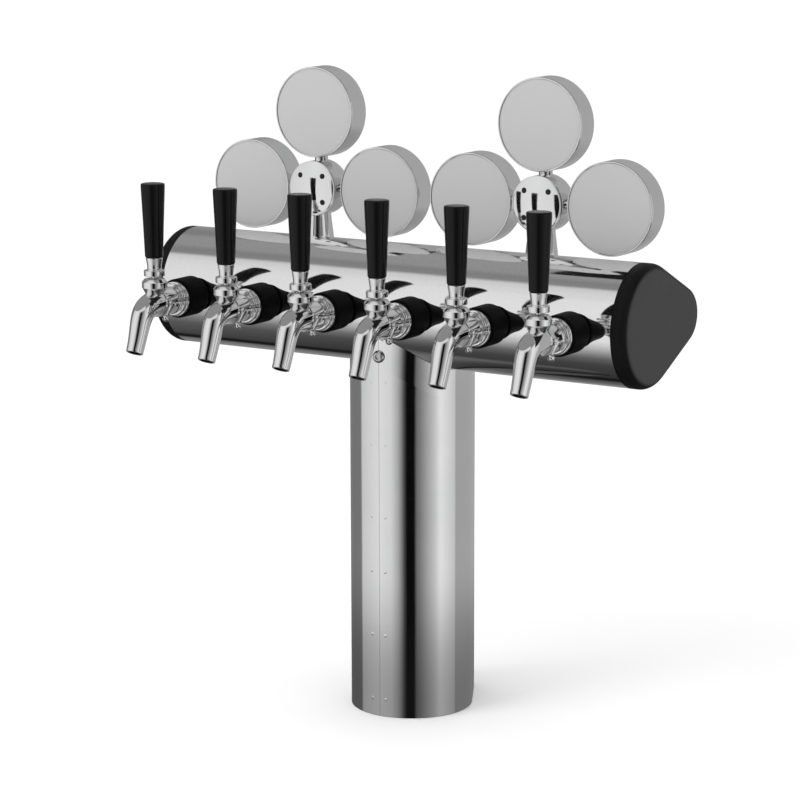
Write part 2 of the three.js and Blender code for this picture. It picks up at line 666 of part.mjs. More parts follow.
/** A post between the beam's sloping back and the hub, in the beam's own frame. */
function makePost() {
  const top = crossHeight;
  const bottom = BEAM_HEIGHT;
  const shoulder = crossHeight - HUB_R;
  const footR = POST_TOP_R + POST_SPREAD * (shoulder - bottom);
  const cone = turned([
    [0, bottom],
    [footR, bottom],
    [POST_TOP_R, shoulder],
    [POST_TOP_R, top],
    [0, top],
  ], 'up', TAP_SIDES * 2).translate([0, POST_Y, 0]);
  const hub = bar(HUB_R + GAP, -HUB_BACK_Y - OVERCUT, OVERCUT, 'front', WIDE_SIDES);
  const bore = bar(POST_BORE_R, bottom, top, 'up').translate([0, POST_Y, 0]);
  return cone
    .subtract(beamEnvelope(GAP))
    .subtract(hub.translate([0, 0, crossHeight]))
    .subtract(bore);
}

// ---- Materials and assembly ---------------------------------------------------------------------

function finish(color, roughness, metalness) {
  return new THREE.MeshStandardMaterial({ color, roughness, metalness });
}

const polished = finish(0xd4d5d6, 0.07, 1);
const steel = finish(0xb9bbbd, 0.3, 1);
const rubber = finish(0x141414, 0.75, 0);
const capPlastic = finish(0x2b2c2e, 0.6, 0);
const handleGloss = finish(0x0a0a0b, 0.12, 0);
const badgeFace = finish(0xdfe0e1, 0.35, 0.4);
const valve = finish(0x8d8f92, 0.4, 0.6);

const tower = new THREE.Group();

/** Adds a named piece to a group. */
function addPiece(group, name, body, material) {
  const piece = new THREE.Mesh(geometryOf(body), material);
  piece.name = name;
  group.add(piece);
}

addPiece(tower, 'beam', makeBeam(), polished);
addPiece(tower, 'end_cap_left', makeCap(-1), capPlastic);
addPiece(tower, 'end_cap_right', makeCap(1), capPlastic);
addPiece(tower, 'column', makeColumn(), polished);
addPiece(tower, 'base_flange', makeBaseFlange(), steel);
addPiece(tower, 'joint_screw', makeJointScrew(), steel);

const shankPieces = {
  shank: [makeShank(), steel],
  shank_collar: [makeCollar(), rubber],
};
const faucetPieces = {
  faucet_body: [faucetOutside().subtract(faucetInside()), polished],
  lever: [makeLever(), polished],
  handle: [makeHandle(), handleGloss],
  shuttle: [makeShuttle(), valve],
  flow_lever: [makeFlowLever(), polished],
};

/** Adds one copy of each piece of a set to a group, with the tap's number. */
function addSet(group, pieces, number) {
  for (const [name, [body, material]] of Object.entries(pieces)) {
    addPiece(group, `${name}_${number}`, body, material);
  }
}

tapX.forEach((x, i) => {
  const tap = new THREE.Group();
  tap.position.set(x, 0, BEAM_HEIGHT);
  addSet(tap, shankPieces, i + 1);
  const faucet = new THREE.Group();
  faucet.position.set(0, -collarReach, 0);
  addSet(faucet, faucetPieces, i + 1);
  tap.add(faucet);
  tower.add(tap);
});

['left', 'right'].forEach((side, i) => {
  const x = i === 0 ? -crossX : crossX;
  const post = new THREE.Group();
  post.position.set(x, 0, 0);
  addPiece(post, `post_${side}`, makePost(), polished);
  tower.add(post);

  const cross = new THREE.Group();
  cross.position.set(x, 0, crossHeight);
  addPiece(cross, `hub_${side}`, makeHub(), polished);
  addPiece(cross, `hub_plate_${side}`, makeHubPlate(), polished);
  badgeAngles.forEach((angle, j) => {
    const holder = new THREE.Group();
    holder.position.set(badgeArm * Math.cos(angle), 0, badgeArm * Math.sin(angle));
    addPiece(holder, `badge_${3 * i + j + 1}`, makeBadge(angle + Math.PI), badgeFace);
    cross.add(holder);
  });
  tower.add(cross);
});

export default tower;
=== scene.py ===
# %% [markdown]
# # A six-tap beer tower
# A chrome column carries a round-fronted beam with six faucets and two crosses of medallions.
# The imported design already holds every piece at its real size, but with flat facets. This lesson
# builds the fine surface around it: each cell measures the design, shapes one piece and dresses it.

# %% Load the design
import json
import math

import bmesh
import bpy
from mathutils import Matrix, Vector


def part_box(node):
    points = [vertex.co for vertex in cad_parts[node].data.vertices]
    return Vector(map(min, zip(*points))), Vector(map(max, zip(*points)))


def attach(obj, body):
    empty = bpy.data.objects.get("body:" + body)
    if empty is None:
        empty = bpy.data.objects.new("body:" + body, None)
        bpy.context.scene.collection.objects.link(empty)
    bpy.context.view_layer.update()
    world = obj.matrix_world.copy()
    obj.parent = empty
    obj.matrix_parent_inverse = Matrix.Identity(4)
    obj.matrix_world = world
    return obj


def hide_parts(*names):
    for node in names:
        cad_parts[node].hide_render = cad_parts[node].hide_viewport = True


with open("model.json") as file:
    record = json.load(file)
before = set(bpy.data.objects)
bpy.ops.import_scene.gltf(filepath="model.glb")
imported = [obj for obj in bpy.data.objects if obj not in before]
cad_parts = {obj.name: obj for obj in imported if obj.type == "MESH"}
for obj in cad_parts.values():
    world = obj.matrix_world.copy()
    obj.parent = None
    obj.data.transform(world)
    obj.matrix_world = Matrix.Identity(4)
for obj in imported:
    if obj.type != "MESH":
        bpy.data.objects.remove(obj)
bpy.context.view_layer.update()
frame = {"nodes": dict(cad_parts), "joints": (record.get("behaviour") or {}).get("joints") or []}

# %% [markdown]
# ## Measuring in millimetres
# A workshop drawing is in millimetres and Blender is in metres. Shapes here are drawn in
# millimetres and scaled once, when a piece is made, so the numbers read as they would on paper.

# %% Measure the big pieces
MM = 0.001


def measure(node):
    """Lowest and highest corner of a design node, in millimetres."""
    low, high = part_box(node)
    return low / MM, high / MM


beam_low, beam_high = measure("beam")
column_low, column_high = measure("column")
BEAM_R = (beam_high.z - beam_low.z) / 2
AXIS_Z = (beam_high.z + beam_low.z) / 2
HALF_BEAM = beam_high.x
NOSE_R = 30.5
BEAM_DEPTH = beam_high.y - beam_low.y - BEAM_R - NOSE_R
COLUMN_R = column_high.x
COLUMN_NOSE_R = 35.3
COLUMN_AXIS_Y = column_low.y + COLUMN_R
COLUMN_DEPTH = column_high.y - COLUMN_NOSE_R - COLUMN_AXIS_Y
WALL = 2
print("beam", round(2 * HALF_BEAM, 1), "long, front radius", round(BEAM_R, 1), "at", round(AXIS_Z, 1))

# %% [markdown]
# ## The camera
# A long lens stands to the right of the tower and a little above it, so that the six taps recede
# only slightly. The lens is shifted by about one part in a hundred to centre the tower.

# %% Set up the camera
CAMERA_PLACE = Vector((1475.0, -2424.1, 884.7)) * MM
CAMERA_AZIMUTH = math.radians(31.3)
CAMERA_RISE = math.radians(11.3)
CAMERA_ROLL = math.radians(-0.1)
SENSOR = 36.0
LENS = 125.5
LENS_SHIFT = (-0.0106, 0.0099)
FARTHEST = 50

lens_data = bpy.data.cameras.new("tower_camera")
lens_data.sensor_width = SENSOR
lens_data.lens = LENS
lens_data.shift_x, lens_data.shift_y = LENS_SHIFT
lens_data.clip_end = FARTHEST
camera = bpy.data.objects.new("tower_camera", lens_data)
bpy.context.scene.collection.objects.link(camera)
bpy.context.scene.camera = camera
back = Vector((
    math.sin(CAMERA_AZIMUTH) * math.cos(CAMERA_RISE),
    -math.cos(CAMERA_AZIMUTH) * math.cos(CAMERA_RISE),
    math.sin(CAMERA_RISE),
))
level = Vector((math.cos(CAMERA_AZIMUTH), math.sin(CAMERA_AZIMUTH), 0))
turn_back = Matrix.Rotation(CAMERA_ROLL, 3, back)
right = turn_back @ level
up = turn_back @ back.cross(level)
camera.matrix_world = Matrix.Translation(CAMERA_PLACE) @ Matrix((right, up, back)).transposed().to_4x4()
print("camera", [round(v, 3) for v in camera.matrix_world.translation])

# %% [markdown]
# ## Wiring nodes
# Materials, finishes and the sky are all node trees. A few small helpers add a node, fill its
# sockets with plain values and wire the rest, which keeps each recipe to a few readable lines.

# %% Node helpers


def node(tree, kind, settings=None, **sockets):
    """Adds a shader node. A socket's name has _ for each space, or is _ and its number."""
    made = tree.nodes.new("ShaderNode" + kind)
    for name, value in (settings or {}).items():
        setattr(made, name, value)
    for name, value in sockets.items():
        key = int(name[1:]) if name[0] == "_" else name.replace("_", " ")
        if isinstance(value, bpy.types.NodeSocket):
            tree.links.new(value, made.inputs[key])
        else:
            made.inputs[key].default_value = value
    return made


def maths(tree, operation, first, second=0.0, clamp=False):
    """The output of a Math node."""
    settings = {"operation": operation, "use_clamp": clamp}
    return node(tree, "Math", settings, _0=first, _1=second).outputs[0]


def blend_values(tree, share, first, second):
    """A number that goes from first to second with share."""
    return node(tree, "Mix", {"data_type": "FLOAT"}, _0=share, _2=first, _3=second).outputs[0]


def blend_colours(tree, share, first, second):
    """A colour that goes from first to second with share."""
    return node(tree, "Mix", {"data_type": "RGBA"}, _0=share, _6=first, _7=second).outputs[2]


def ramp(tree, share, stops, easing="LINEAR"):
    """The colour output of a ramp with (position, grey) stops."""
    made = node(tree, "ValToRGB", _0=share)
    band = made.color_ramp
    band.interpolation = easing
    while len(band.elements) < len(stops):
        band.elements.new(1.0)
    for element, (position, grey) in zip(band.elements, stops):
        element.position = position
        element.color = (grey, grey, grey, 1)
    return made.outputs[0]


# %% [markdown]
# ## The light
# Polished steel has no look of its own: it shows the room. A photographer surrounds it with white
# tents and black boards, and the bands between them draw the round shapes. Here the world is that
# tent. A ring of greys by compass direction serves the upright shapes, and one ramp above and one
# below it serve the beam. Only reflections see the bands; the floor is lit by a plain white sky.

# %% Build the tent


def linear(grey):
    """Light value of a screen grey from 0 to 255."""
    share = grey / 255
    return share / 12.92 if share <= 0.04045 else ((share + 0.055) / 1.055) ** 2.4


STEEL_MIRROR = 0.82  # share of the light that polished steel sends back
RING = [  # compass angle from the right of the tower, anticlockwise seen from above, and grey
    (0, 221), (25, 197), (31, 190), (32, 158), (105, 158), (118, 150), (131, 122), (160, 112),
    (191, 116), (195, 196), (240, 218), (262, 208), (276, 165), (287, 70), (292, 10), (306, 10),
    (311, 104), (320, 130), (345, 192), (356, 222), (360, 221),
]
ABOVE = [(0.0, 205), (0.26, 207), (0.34, 196), (0.38, 128), (0.45, 122), (0.52, 138), (1.0, 142)]
BELOW = [
    (0.0, 200), (0.12, 196), (0.28, 120), (0.38, 88), (0.62, 66), (0.66, 26), (0.71, 26),
    (0.75, 104), (1.0, 150),
]
OVER_EDGE = (0.62, 0.74)  # how steeply up a direction points where the ring gives way to the ramp
UNDER_EDGE = (-0.34, -0.52)  # the same, downward
WHITE_SKY = (1.14, 1.14, 1.14, 1)


def tent_stops(stops, span=1.0):
    """Ramp stops whose greys are what polished steel shows on screen."""
    return [(place / span, linear(grey) / STEEL_MIRROR) for place, grey in stops]


world = bpy.data.worlds.new("studio_tent")
world.use_nodes = True
bpy.context.scene.world = world
bpy.context.scene.view_settings.view_transform = "Standard"
sky = world.node_tree
sky.nodes.clear()
direction = node(sky, "SeparateXYZ", _0=node(sky, "TexCoord").outputs["Generated"])
toward_x, toward_y, toward_z = direction.outputs
compass = maths(sky, "ARCTAN2", toward_y, toward_x)
turn_share = maths(sky, "FRACT", maths(sky, "ADD", maths(sky, "DIVIDE", compass, 2 * math.pi), 1.0))
backness = node(sky, "Math", {"operation": "MULTIPLY_ADD"}, _0=toward_y, _1=0.5, _2=0.5).outputs[0]
ring_light = ramp(sky, turn_share, tent_stops(RING, 360))
above_light = ramp(sky, backness, tent_stops(ABOVE))
below_light = ramp(sky, backness, tent_stops(BELOW))
smooth = {"interpolation_type": "SMOOTHSTEP"}
over = node(sky, "MapRange", smooth, _0=toward_z, _1=OVER_EDGE[0], _2=OVER_EDGE[1])
under = node(sky, "MapRange", smooth, _0=toward_z, _1=UNDER_EDGE[0], _2=UNDER_EDGE[1])
tent = blend_colours(sky, over.outputs[0], ring_light, above_light)
tent = blend_colours(sky, under.outputs[0], tent, below_light)
path = node(sky, "LightPath")
seen_as_mirror = maths(sky, "MAXIMUM", path.outputs["Is Glossy Ray"], path.outputs["Is Transmission Ray"])
light = blend_colours(sky, seen_as_mirror, WHITE_SKY, tent)
shine = node(sky, "Background", Color=light, Strength=1.0)
out = node(sky, "OutputWorld")
sky.links.new(shine.outputs[0], out.inputs[0])
print("tent bands:", len(RING), "round,", len(ABOVE), "above,", len(BELOW), "below")

# %% [markdown]
# ## The counter
# The tower stands on a plain pale counter. Mirrors don't see it, or its white would wash the
# bands out. In its place a soft dark patch, seen only by mirrors, lies round the foot, and gives
# the column the deeper tone that polished steel takes near what it stands on. A black flag hangs
# above and behind the right half in the same way, and puts one dark band along the top of the beam.

# %% Lay the counter, hang the flag and one soft lamp


def flat_disc(name, radius, height, finish):
    """A round stage piece in metres."""
    bm = bmesh.new()
    bmesh.ops.create_circle(bm, cap_ends=True, radius=radius, segments=128)
    mesh = bpy.data.meshes.new(name)
    bm.to_mesh(mesh)
    bm.free()
    mesh.materials.append(finish)
    disc = bpy.data.objects.new(name, mesh)
    disc.location.z = height
    bpy.context.scene.collection.objects.link(disc)
    return disc


def hide_from(thing, *rays):
    """Keeps a stage piece or a lamp out of some kinds of ray."""
    for ray in rays:
        setattr(thing, "visible_" + ray, False)


COUNTER_R = 9.0
COUNTER_LEVEL = -0.0004
SHADE_R = 0.75
SHADE_LEVEL = -0.0002
SHADE_START = 0.06
SHADE_STRENGTH = 0.55

counter_finish = bpy.data.materials.new("pale_counter")
counter_finish.use_nodes = True
counter_shader = counter_finish.node_tree.nodes["Principled BSDF"]
counter_shader.inputs["Base Color"].default_value = (0.93, 0.93, 0.93, 1)
counter_shader.inputs["Roughness"].default_value = 0.9
counter = flat_disc("counter", COUNTER_R, COUNTER_LEVEL, counter_finish)
hide_from(counter, "glossy")

shade_finish = bpy.data.materials.new("foot_shade")
shade_finish.use_nodes = True
shade = shade_finish.node_tree
shade.nodes.clear()
place = node(shade, "TexCoord").outputs["Object"]
reach = node(shade, "VectorMath", {"operation": "LENGTH"}, _0=place).outputs["Value"]
fade = node(shade, "MapRange", {"interpolation_type": "SMOOTHERSTEP"},
            _0=reach, _1=SHADE_START, _2=SHADE_R, _3=SHADE_STRENGTH, _4=0.0)
clear = node(shade, "BsdfTransparent")
dark = node(shade, "Emission", Color=(0.01, 0.01, 0.01, 1), Strength=1.0)
mix = node(shade, "MixShader", _0=fade.outputs[0])
shade.links.new(clear.outputs[0], mix.inputs[1])
shade.links.new(dark.outputs[0], mix.inputs[2])
shade_out = node(shade, "OutputMaterial")
shade.links.new(mix.outputs[0], shade_out.inputs[0])
foot_shade = flat_disc("foot_shade", SHADE_R, SHADE_LEVEL, shade_finish)
hide_from(foot_shade, "camera", "diffuse", "shadow")

FLAG_HEIGHT = 1.43
FLAG_LEFT = -0.33
FLAG_RIGHT = 2.2
FLAG_NEAR = 0.10
FLAG_FAR = 0.80
flag_finish = bpy.data.materials.new("black_flag")
flag_finish.use_nodes = True
flag_shader = flag_finish.node_tree.nodes["Principled BSDF"]
flag_shader.inputs["Base Color"].default_value = (0.0, 0.0, 0.0, 1)
flag_shader.inputs["Emission Color"].default_value = (0.012, 0.012, 0.012, 1)
flag_shader.inputs["Emission Strength"].default_value = 1.0
flag_shader.inputs["Roughness"].default_value = 1.0
flag_shader.inputs["Specular IOR Level"].default_value = 0.0
flag_mesh = bpy.data.meshes.new("black_flag")
flag_mesh.from_pydata([
    (FLAG_LEFT, FLAG_NEAR, FLAG_HEIGHT), (FLAG_RIGHT, FLAG_NEAR, FLAG_HEIGHT),
    (FLAG_RIGHT, FLAG_FAR, FLAG_HEIGHT), (FLAG_LEFT, FLAG_FAR, FLAG_HEIGHT),
], [], [(0, 1, 2, 3)])
flag_mesh.materials.append(flag_finish)
black_flag = bpy.data.objects.new("black_flag", flag_mesh)
bpy.context.scene.collection.objects.link(black_flag)
hide_from(black_flag, "camera", "diffuse", "shadow", "transmission")

LAMP_SIZE = 1.6
LAMP_WATTS = 26
LAMP_PLACE = (-1.1, -1.9, 2.2)
LAMP_AIM = Vector((0, 0, 0.35))
lamp_data = bpy.data.lights.new("soft_lamp", "AREA")
lamp_data.shape = "DISK"
lamp_data.size = LAMP_SIZE
lamp_data.energy = LAMP_WATTS
lamp = bpy.data.objects.new("soft_lamp", lamp_data)
lamp.location = LAMP_PLACE
lamp.rotation_euler = (LAMP_AIM - lamp.location).to_track_quat("-Z", "Y").to_euler()
hide_from(lamp, "glossy")
bpy.context.scene.collection.objects.link(lamp)
print("counter at", round(counter.location.z, 4), "lamp at", tuple(round(v, 2) for v in lamp.location))

# %% [markdown]
# ## Shared finishes: marks in the polish
# Buffing leaves hair-fine lines and, between them, patches that are a little duller. Both come
# from noise: one stretched along the buffing direction, one broad. The group puts out a height
# for a Bump node and a mask that a material turns into roughness in its own way.

# %% Group: polish marks


def group(name, takes, gives):
    """A shader node group with its input and output nodes."""
    tree = bpy.data.node_groups.new(name, "ShaderNodeTree")
    for label, kind, value in takes:
        socket = tree.interface.new_socket(name=label, in_out="INPUT", socket_type="NodeSocket" + kind)
        socket.default_value = value
    for label, kind in gives:
        tree.interface.new_socket(name=label, in_out="OUTPUT", socket_type="NodeSocket" + kind)
    return tree, tree.nodes.new("NodeGroupInput").outputs, tree.nodes.new("NodeGroupOutput").inputs


def use(tree, shared, **values):
    """Places a shared group in a material with its own values and gives its outputs."""
    return node(tree, "Group", {"node_tree": shared}, **values).outputs


def here(tree):
    """Coordinates of the piece itself, in metres, which move with it."""
    return node(tree, "TexCoord").outputs["Object"]


polish_marks, takes, gives = group(
    "polish_marks",
    [("Stretch", "Vector", (1, 1, 1)), ("Fineness", "Float", 900.0), ("Patch", "Float", 30.0)],
    [("Height", "Float"), ("Dullness", "Float")],
)
stretched = node(polish_marks, "VectorMath", {"operation": "MULTIPLY"},
                 _0=here(polish_marks), _1=takes["Stretch"]).outputs[0]
hairs = node(polish_marks, "TexNoise", Vector=stretched, Scale=takes["Fineness"], Detail=3.0)
patches = node(polish_marks, "TexNoise", Vector=here(polish_marks), Scale=takes["Patch"], Detail=5.0)
polish_marks.links.new(hairs.outputs[0], gives["Height"])
cloud = node(polish_marks, "MapRange", _0=patches.outputs[0], _1=0.35, _2=0.75).outputs[0]
polish_marks.links.new(cloud, gives["Dullness"])
print("group", polish_marks.name)

# %% [markdown]
# ## Shared finishes: touch, grain, wear and dust
# Hands leave soft smudges where the noise passes a threshold. Moulded plastic and rubber have a
# fine pebbled grain. Metal rubs bright at its edges, which Geometry's Pointiness finds, and dust
# settles only where a surface faces up.

# %% Groups: smudges, grain, wear, dust
smudges, takes, gives = group(
    "hand_smudges",
    [("Scale", "Float", 55.0), ("Amount", "Float", 0.5)],
    [("Mask", "Float")],
)
touch = node(smudges, "TexNoise", Vector=here(smudges), Scale=takes["Scale"], Detail=6.0, Distortion=0.6)
low_edge = maths(smudges, "SUBTRACT", 0.78, maths(smudges, "MULTIPLY", takes["Amount"], 0.3))
spots = node(smudges, "MapRange", _0=touch.outputs[0], _1=low_edge, _2=0.85)
smudges.links.new(spots.outputs[0], gives["Mask"])

mould_grain, takes, gives = group(
    "mould_grain",
    [("Scale", "Float", 1400.0), ("Unevenness", "Float", 25.0)],
    [("Height", "Float"), ("Tone", "Float")],
)
pebbles = node(mould_grain, "TexVoronoi", Vector=here(mould_grain), Scale=takes["Scale"])
tone = node(mould_grain, "TexNoise", Vector=here(mould_grain), Scale=takes["Unevenness"], Detail=4.0)
mould_grain.links.new(pebbles.outputs["Distance"], gives["Height"])
mould_grain.links.new(tone.outputs[0], gives["Tone"])

edge_wear, takes, gives = group(
    "edge_wear",
    [("Start", "Float", 0.53), ("Scale", "Float", 300.0)],
    [("Mask", "Float")],
)
sharpness = node(edge_wear, "NewGeometry").outputs["Pointiness"]
broken = node(edge_wear, "TexNoise", Vector=here(edge_wear), Scale=takes["Scale"], Detail=4.0).outputs[0]
worn_end = maths(edge_wear, "ADD", takes["Start"], 0.06)
edge = node(edge_wear, "MapRange", _0=sharpness, _1=takes["Start"], _2=worn_end).outputs[0]
edge_wear.links.new(maths(edge_wear, "MULTIPLY", edge, broken, clamp=True), gives["Mask"])

settled_dust, takes, gives = group(
    "settled_dust",
    [("Scale", "Float", 220.0), ("Amount", "Float", 0.2)],
    [("Mask", "Float")],
)
facing = node(settled_dust, "SeparateXYZ", _0=node(settled_dust, "NewGeometry").outputs["Normal"])
upward = node(settled_dust, "MapRange", _0=facing.outputs[2], _1=0.55, _2=1.0).outputs[0]
specks = node(settled_dust, "TexNoise", Vector=here(settled_dust), Scale=takes["Scale"], Detail=8.0)
fluff = node(settled_dust, "MapRange", _0=specks.outputs[0], _1=0.42, _2=0.72).outputs[0]
dusty = maths(settled_dust, "MULTIPLY", maths(settled_dust, "MULTIPLY", upward, fluff), takes["Amount"])
settled_dust.links.new(dusty, gives["Mask"])
print("groups:", ", ".join(sorted(g.name for g in bpy.data.node_groups)))

# %% [markdown]
# ## Metals
# All the bright parts are polished steel or chrome plate, so the recipe is one function with a
# few choices: how clear the mirror is, which way it was buffed, and whether it is rolled sheet,
# whose faint waves bend the reflections. Roughness is never one number: it rises in the patches,
# in the smudges and under the dust.

# %% Finish: bright metals


def finish(name, **constants):
    """A new material with constants set on its Principled shader."""
    made = bpy.data.materials.new(name)
    made.use_nodes = True
    tree = made.node_tree
    shader = tree.nodes["Principled BSDF"]
    for socket, value in constants.items():
        shader.inputs[socket.replace("_", " ")].default_value = value
    return made, tree, shader


def grey(value, warmth=0.0):
    """A linear colour, a little warm or cool."""
    return (value * (1 + warmth), value, value * (1 - warmth), 1)


def bright_metal(name, tone, clear, dull, stretch, fineness=900.0, marks=0.02, waves=0.0, touched=0.4):
    """Polished metal: tone is its mirror strength, clear and dull its lowest and highest roughness."""
    made, tree, shader = finish(name, Metallic=1.0)
    marked = use(tree, polish_marks, Stretch=stretch, Fineness=fineness, Patch=26.0)
    touch = use(tree, smudges, Scale=60.0, Amount=touched)["Mask"]
    dust = use(tree, settled_dust, Scale=260.0, Amount=0.16)["Mask"]
    rough = blend_values(tree, marked["Dullness"], clear, dull)
    rough = blend_values(tree, touch, rough, dull * 2.2)
    rough = blend_values(tree, dust, rough, 0.5)
    worn = use(tree, edge_wear, Start=0.54, Scale=350.0)["Mask"]
    colour = blend_colours(tree, marked["Dullness"], grey(tone), grey(tone * 0.96, -0.004))
    colour = blend_colours(tree, worn, colour, grey(min(1.0, tone * 1.08)))
    colour = blend_colours(tree, dust, colour, grey(0.6, 0.02))
    tree.links.new(colour, shader.inputs["Base Color"])
    tree.links.new(rough, shader.inputs["Roughness"])
    relief = node(tree, "Bump", Height=marked["Height"], Strength=marks, Distance=0.0002)
    if waves:
        slow = node(tree, "TexNoise", Vector=here(tree), Scale=9.0, Detail=1.0)
        swell = node(tree, "Bump", Height=slow.outputs[0], Strength=waves, Distance=0.004)
        tree.links.new(swell.outputs[0], relief.inputs["Normal"])
    tree.links.new(relief.outputs[0], shader.inputs["Normal"])
    return made


beam_steel = bright_metal("mirror_sheet_along", 0.82, 0.035, 0.075, (0.04, 1, 1), waves=0.12)
column_steel = bright_metal("mirror_sheet_upright", 0.82, 0.04, 0.085, (1, 1, 0.04), waves=0.10)
tap_chrome = bright_metal("tap_chrome", 0.87, 0.03, 0.07, (1, 0.15, 1), fineness=1600.0)
cross_chrome = bright_metal("cross_chrome", 0.85, 0.035, 0.07, (1, 0.2, 1), fineness=1400.0)
screw_steel = bright_metal("screw_steel", 0.62, 0.18, 0.3, (1, 0.1, 1), fineness=2200.0, marks=0.2)
shank_steel = bright_metal("shank_steel", 0.6, 0.22, 0.36, (1, 0.08, 1), fineness=1500.0, marks=0.15)
flange_steel = bright_metal("flange_steel", 0.55, 0.24, 0.38, (0.05, 1, 1), fineness=1300.0, marks=0.2)
print("bright metals:", sum(1 for m in bpy.data.materials if m.node_tree.nodes.get("Group")))

# %% [markdown]
# ## Plastics, rubber, brass
# The end caps and collars are matt moulded plastic: near black, with a fine grain that scatters
# light; the caps' flat ends get a lighter grey that is painted light. The handles are gloss black under a
# clear coat. The medallion faces are satin pale acrylic. The valve shuttles are brass, dulled by beer.

# %% Finish: moulded and cast parts


LIT_FACE_TURN = (0.80, 0.97)  # how squarely a surface faces along X where the painted light of the lit ends fades in


def moulded(name, tone, rough, grain_scale, grain, coat=0.0, shine=0.5, variation=0.18,
            metal=0.0, face=None, dusty=0.22):
    """A moulded part: tone is its grey, grain its pebbling, face the grey of the painted light on its ends
    along X.
    """
    made, tree, shader = finish(
        name, Metallic=metal, Coat_Weight=coat, Coat_Roughness=0.04, Specular_IOR_Level=shine)
    texture = use(tree, mould_grain, Scale=grain_scale, Unevenness=28.0)
    touch = use(tree, smudges, Scale=70.0, Amount=0.55)["Mask"]
    dust = use(tree, settled_dust, Scale=300.0, Amount=dusty)["Mask"]
    colour = blend_colours(tree, texture["Tone"], grey(tone * (1 - variation)), grey(tone * (1 + variation)))
    # Painted light: surfaces that face along X get the lighter face grey, standing in for the light that
    # falls on flat ends.
    if face:
        turn = node(tree, "SeparateXYZ", _0=node(tree, "TexCoord").outputs["Normal"]).outputs[0]
        squarely = maths(tree, "ABSOLUTE", turn)
        lit_end_share = node(tree, "MapRange", _0=squarely, _1=LIT_FACE_TURN[0], _2=LIT_FACE_TURN[1]).outputs[0]
        colour = blend_colours(tree, lit_end_share, colour, grey(face))
    worn = use(tree, edge_wear, Start=0.56, Scale=240.0)["Mask"]
    colour = blend_colours(tree, worn, colour, grey(tone * 1.6))
    colour = blend_colours(tree, dust, colour, grey(0.35, 0.02))
    value = blend_values(tree, texture["Tone"], rough * 0.9, rough * 1.12)
    value = blend_values(tree, touch, value, rough * 0.72)
    tree.links.new(colour, shader.inputs["Base Color"])
    tree.links.new(value, shader.inputs["Roughness"])
    relief = node(tree, "Bump", Height=texture["Height"], Strength=grain, Distance=0.0003)
    tree.links.new(relief.outputs[0], shader.inputs["Normal"])
    return made


# The caps' face grey of 0.045 is painted light: their flat ends are painted ten times lighter than the round.
cap_plastic = moulded("cap_plastic", 0.0045, 0.5, 1500.0, 0.25, shine=0.12, face=0.045, dusty=0.03)
collar_rubber = moulded("collar_rubber", 0.0022, 0.5, 1300.0, 0.3, shine=0.05, dusty=0.012)
handle_gloss = moulded("handle_gloss", 0.0035, 0.25, 900.0, 0.02, coat=0.16, shine=0.1, dusty=0.02)
medallion_satin = moulded("medallion_satin", 0.43, 0.42, 1800.0, 0.04, variation=0.02)
socket_dark = moulded("socket_dark", 0.02, 0.5, 1200.0, 0.1, metal=0.6)
valve_brass = bright_metal("valve_brass", 0.5, 0.3, 0.45, (1, 0.2, 1), marks=0.2)
print("materials:", len(bpy.data.materials))

# %% [markdown]
# ## From outline to piece
# Every piece starts as a bmesh in millimetres. One helper cleans it, scales it to metres, smooths
# it and marks its true corners as sharp, and another puts the mesh on the body that it moves
# with. A mesh that is used six times is made once and shared.

# %% Piece helpers


def mesh_from(name, bm, material, crease=32):
    """A finished mesh in metres from a bmesh in millimetres."""
    bmesh.ops.remove_doubles(bm, verts=bm.verts, dist=0.0005)
    bmesh.ops.recalc_face_normals(bm, faces=bm.faces)
    bmesh.ops.scale(bm, vec=(MM, MM, MM), verts=bm.verts)
    mesh = bpy.data.meshes.new(name)
    bm.to_mesh(mesh)
    bm.free()
    mesh.materials.append(material)
    mesh.shade_smooth()
    mesh.set_sharp_from_angle(angle=math.radians(crease))
    return mesh


def put(name, mesh, body, at=(0, 0, 0), replaces=()):
    """Places a mesh at a point in millimetres and rides it on a body of the design."""
    thing = bpy.data.objects.new(name, mesh)
    bpy.context.scene.collection.objects.link(thing)
    thing.location = Vector(at) * MM
    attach(thing, body)
    if replaces:
        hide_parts(*replaces)
    return thing


def joined(*parts):
    """One bmesh from several, which are used up."""
    whole = parts[0]
    for part in parts[1:]:
        spare = bpy.data.meshes.new("spare")
        part.to_mesh(spare)
        part.free()
        whole.from_mesh(spare)
        bpy.data.meshes.remove(spare)
    return whole


def bridge(bm, rings, wrap=True):
    """Faces between neighbouring rings of vertices. A ring of one vertex makes a fan."""
    for low, high in zip(rings, rings[1:]):
        count = max(len(low), len(high))
        for k in range(count if wrap else count - 1):
            n = (k + 1) % count
            corners = [low[k % len(low)], low[n % len(low)], high[n % len(high)], high[k % len(high)]]
            corners = list(dict.fromkeys(corners))
            if len(corners) > 2:
                bm.faces.new(corners)


def capped(bm, rings):
    """Faces between the rings and one over each end."""
    bridge(bm, rings)
    bm.faces.new(rings[0])
    bm.faces.new(rings[-1])
    return bm


def around(count):
    """Evenly spaced angles of one full turn."""
    return [2 * math.pi * k / count for k in range(count)]


# %% [markdown]
# ## Turned parts
# Most of a tap comes off a lathe, and so does its model: a profile of radius and distance turned
# about an axis. Real corners are never knife edges, and the small round on each is what catches
# the light, so a corner can carry an easing, which becomes a short curve.

# %% Lathe helpers
AXES = {
    "up": Matrix.Identity(4),
    "front": Matrix(((1, 0, 0, 0), (0, 0, -1, 0), (0, 1, 0, 0), (0, 0, 0, 1))),
    "right": Matrix(((0, 0, 1, 0), (1, 0, 0, 0), (0, 1, 0, 0), (0, 0, 0, 1))),
}


